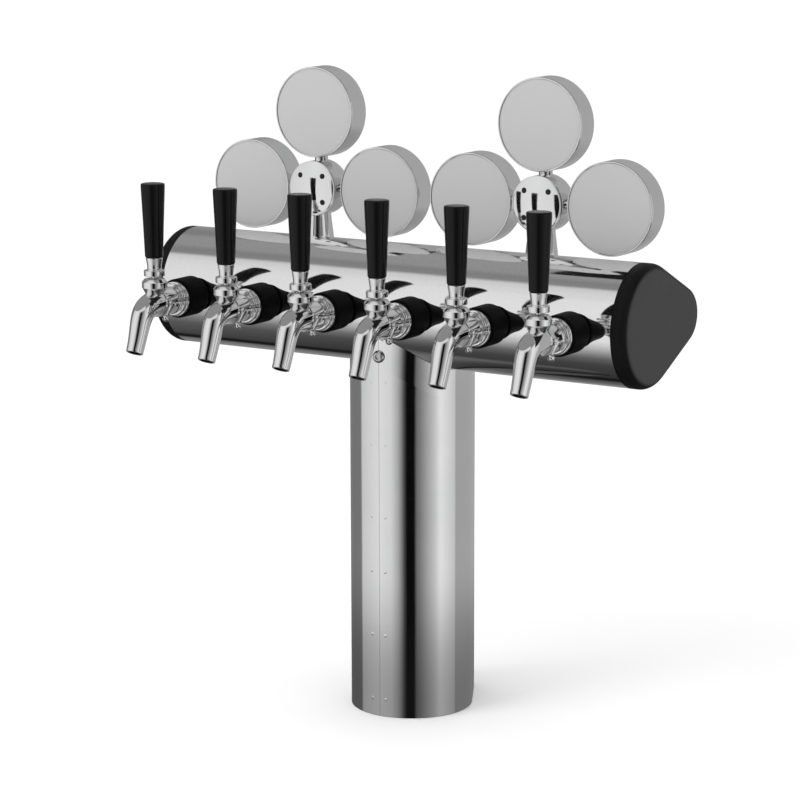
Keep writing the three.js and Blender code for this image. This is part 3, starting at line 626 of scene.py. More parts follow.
def eased(corners, steps=4):
    """Profile points from (radius, distance, easing) corners; a missing easing leaves a sharp corner."""
    points = []
    for index, corner in enumerate(corners):
        spot = Vector(corner[:2])
        ease = corner[2] if len(corner) > 2 else 0
        if not ease:
            points.append(tuple(spot))
            continue
        before = Vector(corners[index - 1][:2]) - spot
        after = Vector(corners[(index + 1) % len(corners)][:2]) - spot
        start = spot + before.normalized() * min(ease, before.length * 0.48)
        end = spot + after.normalized() * min(ease, after.length * 0.48)
        for step in range(steps + 1):
            t = step / steps
            points.append(tuple(start * (1 - t) ** 2 + spot * 2 * t * (1 - t) + end * t * t))
    return points


def turned(corners, axis="up", sides=72, steps=4):
    """A lathe body about an axis. Its profile starts and ends on the axis, or closes on itself."""
    profile = eased(corners, steps)
    bm = bmesh.new()
    rings = []
    for radius, along in profile:
        if radius < 1e-6:
            rings.append([bm.verts.new((0, 0, along))])
            continue
        ring = [(radius * math.cos(a), radius * math.sin(a), along) for a in around(sides)]
        rings.append([bm.verts.new(point) for point in ring])
    if profile[0][0] > 1e-6:
        rings.append(rings[0])
    bridge(bm, rings)
    bmesh.ops.transform(bm, matrix=AXES[axis], verts=bm.verts)
    return bm


def reshape(bm, change):
    """Moves every vertex to what change gives for its place."""
    for vert in bm.verts:
        vert.co = change(vert.co)
    return bm


def moved(bm, x=0, y=0, z=0):
    """The same body, shifted."""
    bmesh.ops.translate(bm, vec=(x, y, z), verts=bm.verts)
    return bm


def hex_reach(co):
    """How far the side of a hexagon about -Y lies toward a point, when its corners are at 1."""
    angle = math.atan2(co.z, co.x) % (math.pi / 3) - math.pi / 6
    return math.cos(math.pi / 6) / math.cos(angle)


def hex_socket(inner, deep):
    """A change that pulls the bore of a screw head, about -Y, into a hexagon across inner."""
    def change(co):
        radius = math.hypot(co.x, co.z)
        if radius > inner + 0.01 or radius < 0.01 or -co.y < deep - 0.01:
            return co
        scale = hex_reach(co)
        return Vector((co.x * scale, co.y, co.z * scale))
    return change


# %% [markdown]
# ## The section of the tower
# Beam and column are rolled from one sheet to a rounded wedge: a large round in front, a small one
# behind, and flats that run tangent to both. One function gives the outline for any pair of
# rounds. Points lie close together on the rounds, because a mirror shows every facet.

# %% Wedge outline


def wedge(front, nose, depth, inset=0.0, front_steps=96, nose_steps=40):
    """Outline points (toward the back, sideways) of a rounded wedge."""
    lean = math.acos((front - nose) / depth)
    points = []
    for k in range(front_steps + 1):
        angle = lean + (2 * math.pi - 2 * lean) * k / front_steps
        points.append(((front - inset) * math.cos(angle), (front - inset) * math.sin(angle)))
    for k in range(nose_steps + 1):
        angle = -lean + 2 * lean * k / nose_steps
        points.append((depth + (nose - inset) * math.cos(angle), (nose - inset) * math.sin(angle)))
    return points


def half_height(y, grow=0.0):
    """Half the beam's thickness at a distance behind its front axis, or 0 outside it."""
    lean = math.acos((BEAM_R - NOSE_R) / BEAM_DEPTH)
    front, nose = BEAM_R + grow, NOSE_R + grow
    if y <= front * math.cos(lean):
        return math.sqrt(max(0.0, front * front - y * y))
    if y >= BEAM_DEPTH + nose * math.cos(lean):
        return math.sqrt(max(0.0, nose * nose - (y - BEAM_DEPTH) ** 2))
    return (front - y * math.cos(lean)) / math.sin(lean)


print("beam thickness over the column's middle:", round(2 * half_height(38), 1), "mm")

# %% [markdown]
# ## The beam
# The real beam is a sheet tube with a hole for each shank. The holes are hidden under the
# collars, so the fine tube is left whole: an unbroken surface gives unbroken reflections. The
# seam where the sheet was welded is ground flush and runs along the back.

# %% Make the beam


def tube_along(outline, inner, low, high):
    """A tube along X between two outlines of (y, z) points, closed at both ends."""
    bm = bmesh.new()
    skin = []
    for x, points in ((low, inner), (low, outline), (high, outline), (high, inner)):
        skin.append([bm.verts.new((x, y, z + AXIS_Z)) for y, z in points])
    skin.append(skin[0])
    bridge(bm, skin)
    return bm


beam_outline = wedge(BEAM_R, NOSE_R, BEAM_DEPTH)
beam_inner = wedge(BEAM_R, NOSE_R, BEAM_DEPTH, inset=WALL)
beam_mesh = mesh_from("beam_sheet", tube_along(beam_outline, beam_inner, -HALF_BEAM, HALF_BEAM), beam_steel)
put("beam_sheet", beam_mesh, "tower", replaces=["beam"])
print("beam:", len(beam_mesh.polygons), "faces")

# %% [markdown]
# ## The end caps
# Each cap is a moulding that plugs the beam with a hollow spigot. Its outer edge is a firm round,
# darker than the slightly crowned face, whose lighter grey is partly painted light in its material. The slab
# is lofted: the same wedge outline, drawn in step by step while it moves outward along a quarter circle.

# %% Make the end caps
CAP_ROUND = 10.0
ROUND_INSET = CAP_ROUND * 0.92
CAP_CROWN = 0.8
CAP_EASE = 0.5
SPIGOT_EASE = 0.6
SPIGOT_DEPTH = 12
SPIGOT_SKIN = WALL + 0.3
SPIGOT_WALL = 3
cap_inner = measure("beam")[1].x + 0.3
cap_outer = measure("end_cap_right")[1].x
cap_flat = cap_outer - CAP_CROWN


def cap_ring(bm, x, inset):
    """One ring of the cap's loft."""
    outline = wedge(BEAM_R, NOSE_R, BEAM_DEPTH, inset)
    return [bm.verts.new((x, y, z + AXIS_Z)) for y, z in outline]


def end_cap():
    """The right-hand cap, from the spigot's mouth to the middle of its face."""
    bm = bmesh.new()
    mouth = cap_inner - SPIGOT_DEPTH
    wall = SPIGOT_SKIN + SPIGOT_WALL
    loft = [
        (cap_inner, wall), (mouth, wall), (mouth, SPIGOT_SKIN + SPIGOT_EASE),
        (mouth + SPIGOT_EASE, SPIGOT_SKIN), (cap_inner, SPIGOT_SKIN),
        (cap_inner, CAP_EASE), (cap_inner + CAP_EASE, 0),
    ]
    for step in range(11):
        angle = math.pi / 2 * step / 10
        reach = cap_flat - CAP_ROUND + CAP_ROUND * math.sin(angle)
        loft.append((reach, ROUND_INSET * (1 - math.cos(angle))))
    for share in (0.15, 0.3, 0.5, 0.7, 0.85, 0.97):
        rise = CAP_CROWN * (1 - (1 - share) ** 2)
        loft.append((cap_flat + rise, ROUND_INSET + (NOSE_R - ROUND_INSET) * share))
    return capped(bm, [cap_ring(bm, x, inset) for x, inset in loft])


cap_right = mesh_from("end_cap", end_cap(), cap_plastic, crease=40)
put("end_cap_moulding_right", cap_right, "tower", replaces=["end_cap_right"])
mirrored = reshape(end_cap(), lambda co: Vector((-co.x, co.y, co.z)))
cap_left = mesh_from("end_cap_left", mirrored, cap_plastic, crease=40)
put("end_cap_moulding_left", cap_left, "tower", replaces=["end_cap_left"])
print("cap from", round(cap_inner, 1), "to", round(cap_outer, 1))

# %% [markdown]
# ## The column
# The column has the same kind of section stood on end, cut on top to the shape of the beam. A
# fine seam runs down its front, with pairs of small marks beside it where the sheet was tacked
# to its lining. The cut is worked out, not carved: each upright line of the skin stops where the
# beam begins.

# %% Make the column
COLUMN_TOP = AXIS_Z - 8
COPE_GAP = 0.3
SEAM_HALF = 0.35
SEAM_DEPTH = 0.4
COLUMN_ROWS = 24


def column_outline(inset, seam):
    """Outline points (x, y) of the column, with the seam's groove at the front."""
    points = []
    for toward_back, sideways in wedge(COLUMN_R, COLUMN_NOSE_R, COLUMN_DEPTH, inset):
        points.append((-sideways, COLUMN_AXIS_Y + toward_back))
    if not seam:
        return points
    groove = [(-2, 0), (-1, 0), (-0.6, SEAM_DEPTH), (0.6, SEAM_DEPTH), (1, 0), (2, 0)]
    front = COLUMN_AXIS_Y - COLUMN_R
    middle = min(range(len(points)), key=lambda k: points[k][1])
    cut = [(share * SEAM_HALF, front + depth) for share, depth in groove]
    if points[middle - 1][0] > points[middle + 1][0]:
        cut.reverse()
    return points[:middle] + cut + points[middle + 1:]


def column_skin(inset, seam):
    """Rows of the column's skin, from the foot to the cope."""
    rows = []
    for row in range(COLUMN_ROWS + 1):
        share = row / COLUMN_ROWS
        ring = []
        for x, y in column_outline(inset, seam):
            top = min(COLUMN_TOP, AXIS_Z - half_height(y, COPE_GAP))
            ring.append((x, y, share * top))
        rows.append(ring)
    return rows


def make_column():
    """Outer and inner skin, joined at the foot and at the cope."""
    bm = bmesh.new()
    outer = [[bm.verts.new(p) for p in ring] for ring in column_skin(0, True)]
    inner = [[bm.verts.new(p) for p in ring] for ring in column_skin(WALL, False)]
    bridge(bm, outer)
    bridge(bm, inner)
    for low, high in ((outer[0], inner[0]), (outer[-1], inner[-1])):
        loops = []
        for ring in (low, high):
            loops += [bm.edges.get((ring[k - 1], ring[k])) for k in range(len(ring))]
        bmesh.ops.bridge_loops(bm, edges=loops)
    return bm


column_mesh = mesh_from("column_sheet", make_column(), column_steel)
put("column_sheet", column_mesh, "tower", replaces=["column"])
print("column:", len(column_mesh.polygons), "faces, cope from", round(AXIS_Z - half_height(column_low.y), 1))

# %% [markdown]
# ## Tack marks and the joint screw
# The tack marks are shallow buttons, a quarter of a millimetre proud: enough to bend a reflection
# and no more. The screw below the tip of the cope is a button head with a hexagon socket. It
# pulls the beam down on the column.

# %% Make the tack marks and the screw
TACK_HEIGHTS = [18, 87, 155, 213, 289, 354]
TACK_SIDE = 8
TACK_CENTRE = -1.5
TACK_R = 1.9
TACK_PROUD = 0.25


def tack_marks():
    """All the shallow buttons beside the seam."""
    marks = bmesh.new()
    for z in TACK_HEIGHTS:
        for side in (-TACK_SIDE, TACK_SIDE):
            x = TACK_CENTRE + side
            y = COLUMN_AXIS_Y - math.sqrt(COLUMN_R ** 2 - x * x)
            lens = [(0, -0.3), (TACK_R, -0.3), (TACK_R, 0.0)]
            lens += [(TACK_R * (1 - s / 4), TACK_PROUD * math.sin(math.pi / 2 * s / 4)) for s in range(1, 5)]
            button = turned([point + (0,) for point in lens], "front", sides=24)
            outward = Matrix.Rotation(math.asin(x / COLUMN_R), 3, "Z")
            bmesh.ops.rotate(button, matrix=outward, verts=button.verts)
            marks = joined(marks, moved(button, x, y, z))
    return marks


put("column_tack_marks", mesh_from("tack_marks", tack_marks(), column_steel), "tower")

screw_low, screw_high = measure("joint_screw")
screw_z = (screw_low.z + screw_high.z) / 2
SCREW_HEAD = 3.6
SOCKET_R = 2.7
seat = -screw_low.y - SCREW_HEAD
screw = turned([
    (0, seat - 20.1), (2.6, seat - 20.1, 0.5), (3, seat - 19), (3, seat), (6.4, seat, 0.3),
    (6.5, seat + 1.2, 0.6), (5.4, seat + 2.9, 1.2), (3.6, seat + SCREW_HEAD, 0.6),
    (SOCKET_R + 0.25, seat + SCREW_HEAD),
    (SOCKET_R, seat + SCREW_HEAD - 0.3), (SOCKET_R, seat + 1.3), (0, seat + 0.9),
], "front", sides=72)
reshape(screw, hex_socket(SOCKET_R, seat + 0.8))
put("joint_screw_head", mesh_from("joint_screw", screw, screw_steel), "tower",
    at=(0, 0, screw_z), replaces=["joint_screw"])
print("screw at height", round(screw_z, 1))

# %% [markdown]
# ## Where the taps stand
# The six taps are alike, so each shape is made once, about the tap's own axis, and used six
# times. The design gives each tap's place, and its joints give the points that the levers turn on.

# %% Measure the taps
TAPS = range(1, 7)
GAP = 0.3
collar_low, collar_high = measure("shank_collar_1")
COLLAR_R = (collar_high.x - collar_low.x) / 2
FACE = GAP - collar_low.y
tap_x = {i: sum(corner.x for corner in measure(f"shank_collar_{i}")) / 2 for i in TAPS}
joint_places = {j["name"]: Vector(j["pos_m"]) / MM for j in frame["joints"] if "pos_m" in j}
pivot = joint_places["tap_1_pull"]
LEVER_Y = pivot.y
PIVOT_RISE = pivot.z - AXIS_Z
lever_low, lever_high = measure("lever_1")
handle_low, handle_high = measure("handle_1")
print("taps at", [round(x) for x in tap_x.values()], "collar face", round(FACE, 1))
print("lever pivot", round(PIVOT_RISE, 1), "above the beam's axis")


def put_on_taps(name, mesh, body, replaces=()):
    """One copy of a tap's piece on each tap. {} in a name stands for the tap's number."""
    for i in TAPS:
        put(f"{name}_{i}", mesh, body.format(i), (tap_x[i], 0, AXIS_Z), [n.format(i) for n in replaces])


# %% [markdown]
# ## Shank, lock nut and collar
# Behind each collar the shank runs through the beam's front: a threaded tube with a hose tail,
# held by a lock nut inside. The thread is modelled as rings, which is how a thread this fine
# reads. The black collar fills the space between beam and tap. Only a narrow ring inside it is
# cut to the beam's round; the rest of its rear is flat, so the beam mirrors a slit above and below.

# %% Make the shank and its collar
SHANK_R = 11.0
THREAD_PITCH = 1.8
THREAD_DEPTH = 0.7
BARB_PITCH = 6.0
shank_tail = -measure("shank_1")[1].y
LOCKNUT_BACK = BEAM_R - 12
LOCKNUT_R = 16.0
LOCKNUT_THICKNESS = 7
COLLAR_SEAT_R = 12.2
COLLAR_ROUND = 3.5


def shank():
    """Bore, barbed tail and ringed thread."""
    corners = [(4.5, shank_tail), (5.6, shank_tail)]
    along = shank_tail + 1
    while along < shank_tail + 4 * BARB_PITCH:
        corners += [(5.4, along), (6.5, along + BARB_PITCH - 1), (5.6, along + BARB_PITCH - 0.9)]
        along += BARB_PITCH
    corners += [(6.2, along + 1), (6.2, 4.6, 0.4), (SHANK_R - 0.6, 5)]
    along = 6
    while along < FACE - 2:
        corners += [(SHANK_R - THREAD_DEPTH, along), (SHANK_R, along + THREAD_PITCH / 2)]
        along += THREAD_PITCH
    corners += [(SHANK_R - THREAD_DEPTH, FACE), (4.5, FACE), (4.5, shank_tail)]
    return turned(corners, "front", sides=40, steps=2)


def lock_nut():
    """A six-sided nut with chamfered corners, threaded on the shank."""
    front = LOCKNUT_BACK + LOCKNUT_THICKNESS
    nut = turned([
        (SHANK_R - 0.5, LOCKNUT_BACK), (LOCKNUT_R * 0.9, LOCKNUT_BACK), (LOCKNUT_R, LOCKNUT_BACK + 1.2),
        (LOCKNUT_R, front - 1.2), (LOCKNUT_R * 0.9, front), (SHANK_R - 0.5, front),
        (SHANK_R - 0.5, LOCKNUT_BACK),
    ], "front", sides=72)

    def six_sided(co):
        radius = math.hypot(co.x, co.z)
        scale = min(1.0, LOCKNUT_R * hex_reach(co) / radius) if radius > SHANK_R else 1.0
        return Vector((co.x * scale, co.y, co.z * scale))
    return reshape(nut, six_sided)


def collar():
    """A sleeve with a flat, rounded rear and a narrow ring inside it that follows the beam."""
    rear = [(SHANK_R + GAP, 0), (COLLAR_SEAT_R, 0), (COLLAR_SEAT_R + 0.2, BEAM_R + 0.35)]
    for step in range(13):
        angle = math.pi / 2 * step / 12
        radius = COLLAR_R - COLLAR_ROUND * (1 - math.sin(angle))
        rear.append((radius, BEAM_R + 0.35 + COLLAR_ROUND * (1 - math.cos(angle))))
    sleeve = turned(rear + [
        (COLLAR_R, FACE - GAP, 3.2),
        (SHANK_R + 4.2, FACE - GAP, 0.5), (SHANK_R + 3.6, FACE - 1.3, 0.3),
        (SHANK_R + GAP, FACE - 1.3), (SHANK_R + GAP, 0),
    ], "front", sides=120, steps=8)

    def seated(co):
        if -co.y > 1:
            return co
        return Vector((co.x, co.y - math.sqrt((BEAM_R + 0.2) ** 2 - co.z ** 2), co.z))
    return reshape(sleeve, seated)


collar_mesh = mesh_from("shank_collar", collar(), collar_rubber)
put_on_taps("collar_sleeve", collar_mesh, "tower", ["shank_collar_{}"])
put_on_taps("shank_tube", mesh_from("shank", shank(), shank_steel, 25), "tower", ["shank_{}"])
put_on_taps("lock_nut", mesh_from("lock_nut", lock_nut(), shank_steel), "tower")
print("collar:", len(collar_mesh.polygons), "faces; shank tail at", round(shank_tail, 1))

# %% [markdown]
# ## The coupling nut
# A ring nut clamps the faucet to its shank. It has a smooth rim, a groove, and a band with notches
# for a hook spanner. The notches are made by drawing the band in over a few degrees of the turn.

# %% Make the coupling nut
NUT_RIM_R = 18.3
NUT_R = 17.4
NUT_END = 8.2
NOTCH_COUNT = 4
NOTCH_HALF = math.radians(6)
NOTCH_FLOOR = 16.2


def coupling_nut():
    """Rim, groove and notched band."""
    nut = turned([
        (SHANK_R, FACE), (NUT_RIM_R, FACE, 0.8), (NUT_RIM_R, FACE + 3.0, 1.4), (NUT_R - 1.0, FACE + 3.4, 0.3),
        (NUT_R - 1.0, FACE + 4.0, 0.2), (NUT_R, FACE + 4.6, 0.9), (NUT_R, FACE + 7.4, 1.6),
        (15.6, FACE + NUT_END, 0.6), (SHANK_R, FACE + NUT_END), (SHANK_R, FACE),
    ], "front", sides=144)

    def notched(co):
        radius = math.hypot(co.x, co.z)
        if -co.y < FACE + 4.3 or radius < NOTCH_FLOOR:
            return co
        pitch = 2 * math.pi / NOTCH_COUNT
        off = abs((math.atan2(co.z, co.x) + pitch / 2) % pitch - pitch / 2)
        scale = NOTCH_FLOOR / radius if off < NOTCH_HALF else 1.0
        return Vector((co.x * scale, co.y, co.z * scale))
    return reshape(nut, notched)


nut_mesh = mesh_from("coupling_nut", coupling_nut(), tap_chrome, 28)
put_on_taps("coupling_nut", nut_mesh, "tower")
print("notches:", NOTCH_COUNT)

# %% [markdown]
# ## The faucet body
# The real body is one casting: a barrel with a domed end, an upright socket for the lever and a
# spout that leaves the barrel forward and curls down. Each of the three is shaped by itself and
# sunk into the next with a flared foot, which reads as the casting's fillet and keeps every
# surface clean enough for a mirror.

# %% Make the barrel and the bonnet
BARREL_R = 14.5
BARREL_END = 33
DOME = 7.3


def barrel():
    """The barrel, with a bead behind the flow control and a domed end."""
    root = FACE + NUT_END
    shell = [(SHANK_R, root), (14.9, root, 0.3), (14.9, FACE + 10, 0.5), (13.9, FACE + 10.5, 0.5)]
    shell += [(13.9, FACE + 12, 1.0), (BARREL_R, FACE + 13.5, 1.5), (BARREL_R, FACE + BARREL_END)]
    for step in range(1, 13):
        angle = math.pi / 2 * step / 12
        radius = BARREL_R * math.cos(angle) if step < 12 else 0
        shell.append((radius, FACE + BARREL_END + DOME * math.sin(angle)))
    return turned([(0, root)] + shell, "front", sides=96)


def bonnet():
    """The lever's socket: tapered foot, a small step, a band and a chamfered rim with an open throat."""
    cup = turned([
        (0, 8), (9.0, 8), (9.6, 10.4, 0.4), (12.2, 15.6, 0.5), (12.4, 16.3, 0.2), (13.0, 16.5, 0.3),
        (13.2, 17.0, 0.3), (13.2, 22.7, 0.6), (10.4, 26.1, 0.5), (7.4, 26.1, 0.4), (4.4, 20.5), (0, 20.5),
    ], "up", sides=96, steps=5)
    return moved(cup, 0, LEVER_Y, 0)


barrel_mesh = mesh_from("faucet_barrel", barrel(), tap_chrome)
put_on_taps("faucet_barrel", barrel_mesh, "tower", ["faucet_body_{}"])
put_on_taps("faucet_bonnet", mesh_from("faucet_bonnet", bonnet(), tap_chrome), "tower")
print("barrel:", len(barrel_mesh.polygons), "faces")

# %% [markdown]
# ## The spout
# The spout is a tube swept along a smooth curve: it starts along the barrel, bends at the elbow
# and leans forward 25 degrees to its mouth. Its radius shrinks quickly at first and then slowly.
# At the mouth the wall turns over a small lip into the bore. On the front of the elbow a flat is
# ground, where makers put a mark; here it stays blank. To cut it, every point of the sweep that
# stands in front of the flat's plane is pushed back onto it, which leaves an oval.

# %% Make the spout
SPOUT_START = 31
SPOUT_TIP_REACH = 73
SPOUT_DROP = 46.5
SPOUT_LEAN = math.radians(25)
ELBOW_PULL = 34
TIP_PULL = 36
ROOT_R = 14.4
TIP_R = 9.0
TAPER = 1.5
BORE_R = 6.6
SPOUT_RINGS = 96
SPOUT_SIDES = 144

FLAT_LEAN = math.radians(50)
flat_edge = Vector((0, -FACE - 51, 10.5))
flat_facing = Vector((0, -math.cos(FLAT_LEAN), math.sin(FLAT_LEAN)))
outflow = Vector((0, -math.sin(SPOUT_LEAN), -math.cos(SPOUT_LEAN)))
spout_from = Vector((0, -FACE - SPOUT_START, 0))
spout_tip = Vector((0, -FACE - SPOUT_TIP_REACH, -SPOUT_DROP))
bend = (spout_from, spout_from - Vector((0, ELBOW_PULL, 0)), spout_tip - outflow * TIP_PULL, spout_tip)


def on_bend(t):
    """Point and direction of the spout's centreline."""
    a, b, c, d = bend
    s = 1 - t
    point = a * s ** 3 + b * 3 * s * s * t + c * 3 * s * t * t + d * t ** 3
    heading = (b - a) * 3 * s * s + (c - b) * 6 * s * t + (d - c) * 3 * t * t
    return point, heading.normalized()


def spout_ring(bm, point, heading, radius):
    """One ring of the sweep, square to its heading."""
    side = Vector((1, 0, 0))
    rise = heading.cross(side)
    spokes = [side * math.cos(a) + rise * math.sin(a) for a in around(SPOUT_SIDES)]
    return [bm.verts.new(point + spoke * radius) for spoke in spokes]


def spout():
    """Outer sweep, lip and bore."""
    bm = bmesh.new()
    stations = [on_bend(k / SPOUT_RINGS) for k in range(SPOUT_RINGS + 1)]
    travelled = [0.0]
    for (one, _), (two, _) in zip(stations, stations[1:]):
        travelled.append(travelled[-1] + (two - one).length)
    rings = [[bm.verts.new(stations[0][0])]]
    for (point, heading), gone in zip(stations[:-1], travelled):
        share = gone / travelled[-1]
        rings.append(spout_ring(bm, point, heading, TIP_R + (ROOT_R - TIP_R) * (1 - share) ** TAPER))
    for vert in bm.verts:
        beyond = (vert.co - flat_edge).dot(flat_facing)
        if beyond > 0:
            vert.co -= flat_facing * beyond
    lip = ((TIP_R, 1.0), (TIP_R - 0.25, 0.3), (TIP_R - 0.8, 0.0), (BORE_R + 0.6, 0.0), (BORE_R, 0.5))
    for radius, back in lip:
        rings.append(spout_ring(bm, spout_tip - outflow * back, outflow, radius))
    for t in (0.9, 0.8, 0.7):
        rings.append(spout_ring(bm, *on_bend(t), BORE_R))
    rings.append([bm.verts.new(on_bend(0.69)[0])])
    bridge(bm, rings)
    return bm


spout_mesh = mesh_from("faucet_spout", spout(), tap_chrome, crease=40)
put_on_taps("faucet_spout", spout_mesh, "tower")
print("spout:", len(spout_mesh.polygons), "faces")

# %% [markdown]
# ## The lever
# The lever turns on a ball in the bonnet. Its pin reaches down to the shuttle, and above the ball
# come a thin neck, a square-edged ring, a flared ferrule and a stud in the handle. They move
# together, so they all ride on the lever's body.

# %% Make the lever
BALL_R = 5.3
NECK_R = 2.8
RING_FOOT = 29
RING_TOP = 35
FERRULE_TOP = 48
STUD_TOP = lever_high.z - AXIS_Z


def lever_core():
    """Pin, ball, neck and stud."""
    corners = [(0, -3), (2.1, -2.1), (3, 0), (2.1, 2.1), (2.1, PIVOT_RISE - 4.8)]
    for step in range(13):
        angle = math.radians(-64 + 122 * step / 12)
        corners.append((BALL_R * math.cos(angle), PIVOT_RISE + BALL_R * math.sin(angle)))
    corners += [(NECK_R, RING_FOOT + 1.5), (4, RING_FOOT + 2), (4, STUD_TOP - 0.5)]
    corners += [(3.5, STUD_TOP), (0, STUD_TOP)]
    return moved(turned(corners, "up", sides=48), 0, LEVER_Y, 0)


def lever_ring():
    """The square-edged ring, hollow below so that it clears the bonnet."""
    return moved(turned([
        (3, 30.6), (7.1, RING_FOOT, 0.3), (10.9, RING_FOOT, 0.6), (10.9, RING_TOP, 0.6), (8.0, RING_TOP, 0.2),
        (7.6, RING_TOP - 0.5, 0.2), (3, RING_TOP - 0.5), (3, 30.6),
    ], "up", sides=96), 0, LEVER_Y, 0)


def ferrule():
    """The flared ferrule between ring and handle."""
    return moved(turned([
        (3, RING_TOP - 0.4), (7.9, RING_TOP - 0.4), (7.9, RING_TOP + 0.9, 0.4), (7.2, RING_TOP + 1.5, 0.5),
        (7.6, RING_TOP + 6), (8.75, FERRULE_TOP - 0.6, 0.5), (8.4, FERRULE_TOP, 0.3), (3, FERRULE_TOP),
        (3, RING_TOP - 0.4),
    ], "up", sides=96), 0, LEVER_Y, 0)


for name, shape, stands_for in (
    ("lever_core", lever_core(), ["lever_{}"]), ("lever_ring", lever_ring(), []), ("ferrule", ferrule(), []),
):
    put_on_taps(name, mesh_from(name, shape, tap_chrome), "lever_{}", stands_for)
print("lever from", round(lever_low.z), "to", round(lever_high.z))

# %% [markdown]
# ## The handle
# A gloss-black grip widens slightly toward its top. The top face is almost flat, with an eased
# rim, and the foot has a narrow chamfer where it meets the ferrule.

# %% Make the handle
HANDLE_FOOT = handle_low.z - AXIS_Z
HANDLE_TOP = handle_high.z - AXIS_Z
FOOT_R = 9.4
TOP_R = 12.4


def handle():
    """Tapered grip with a socket for the stud."""
    socket_end = HANDLE_FOOT + 20.4
    return moved(turned([
        (4.3, HANDLE_FOOT), (FOOT_R - 0.8, HANDLE_FOOT, 0.2), (FOOT_R, HANDLE_FOOT + 0.9, 0.4),
        (FOOT_R + 1.35, HANDLE_FOOT + 36), (TOP_R, HANDLE_TOP - 5), (TOP_R, HANDLE_TOP - 0.6, 1.3),
        (TOP_R - 2.4, HANDLE_TOP - 0.1, 1.2), (0, HANDLE_TOP), (0, socket_end), (4.3, socket_end),
        (4.3, HANDLE_FOOT),
    ], "up", sides=120, steps=6), 0, LEVER_Y, 0)


handle_mesh = mesh_from("handle", handle(), handle_gloss)
put_on_taps("grip", handle_mesh, "lever_{}", ["handle_{}"])
print("handle", round(HANDLE_TOP - HANDLE_FOOT, 1), "mm long")

# %% [markdown]
# ## The flow control
# On the barrel's right-hand side a small lever throttles the beer. It is a hub on a spindle, a
# flattened arm and a ball to push with a thumb, and it rides on a body of its own.

# %% Make the flow control
flow = joint_places["tap_1_flow"]
FLOW_LEAN = math.radians(44)
ARM_LENGTH = 18.5
FLOW_BALL_R = 3.6
ARM_X = BARREL_R + 1
ARM_THICKNESS = 2.4


def flow_lever():
    """Spindle, hub, arm and ball in one body."""
    outside = ARM_X + ARM_THICKNESS
    hub = turned([
        (0, 9.6), (3, 9.6), (3, ARM_X - 0.3), (4.6, ARM_X, 0.3), (4.6, outside, 0.7),
        (2.2, outside + 0.1, 0.3), (1.9, outside - 0.4), (0, outside - 0.4),
    ], "right", sides=48)
    arm = turned([(0, 0), (3.2, 0), (1.7, 7, 3), (1.5, ARM_LENGTH), (0, ARM_LENGTH)], "up", sides=32)
    reshape(arm, lambda co: Vector((co.x * 0.62 + ARM_X + ARM_THICKNESS / 2, co.y, -co.z)))
    ball = bmesh.new()
    bmesh.ops.create_uvsphere(ball, u_segments=32, v_segments=16, radius=FLOW_BALL_R)
    moved(ball, ARM_X + ARM_THICKNESS / 2, 0, -ARM_LENGTH)
    whole = joined(hub, arm, ball)
    bmesh.ops.rotate(whole, matrix=Matrix.Rotation(-FLOW_LEAN, 3, "X"), verts=whole.verts)
    return moved(whole, 0, flow.y, flow.z - AXIS_Z)


flow_mesh = mesh_from("flow_control", flow_lever(), tap_chrome)
put_on_taps("flow_control", flow_mesh, "flow_{}", ["flow_lever_{}"])
print("flow control:", len(flow_mesh.polygons), "faces")

# %% [markdown]
# ## The crosses: where they stand
# Two crosses of three medallions stand on the beam's sloping back. The design gives each hub and
# each medallion its place; only the small rounds and screws are new here.

# %% Measure the crosses
SIDES = ("left", "right")
plate_boxes = {side: measure(f"hub_plate_{side}") for side in SIDES}
hub_centres = {side: (low + high) / 2 for side, (low, high) in plate_boxes.items()}
HUB_R = (plate_boxes["left"][1].x - plate_boxes["left"][0].x) / 2
PLATE_FRONT = plate_boxes["left"][0].y
PLATE_BACK = plate_boxes["left"][1].y
HUB_BACK = measure("hub_left")[1].y
HUB_Z = hub_centres["left"].z
badge_boxes = {i: measure(f"badge_{i}") for i in range(1, 7)}
badge_centres = {i: (low + high) / 2 for i, (low, high) in badge_boxes.items()}
BADGE_R = (badge_boxes[1][1].x - badge_boxes[1][0].x) / 2
BADGE_FRONT, BADGE_BACK = badge_boxes[1][0].y, badge_boxes[1][1].y
STUB_Y = (BADGE_FRONT + BADGE_BACK) / 2
BADGE_ARM = hub_centres["left"].x - badge_centres[1].x
print("hubs at height", round(HUB_Z, 1), "arm", round(BADGE_ARM, 1), "medallion radius", round(BADGE_R, 1))

# %% [markdown]
# ## Posts
# Each post is a cone that widens toward the beam, with a small flare where it is brazed on. Its
# foot is cut to the beam's slope and its head to the round of the hub. Both cuts are worked out
# along each upright line of the cone, as for the column.

# %% Make the posts
POST_Y = 40.0
POST_TOP_R = 14.0
POST_SPREAD = 0.12
POST_ROWS = 28
FLARE_RISE = 3.0
FLARE = 1.3
POST_SIDES = 96
post_shoulder = HUB_Z - HUB_R


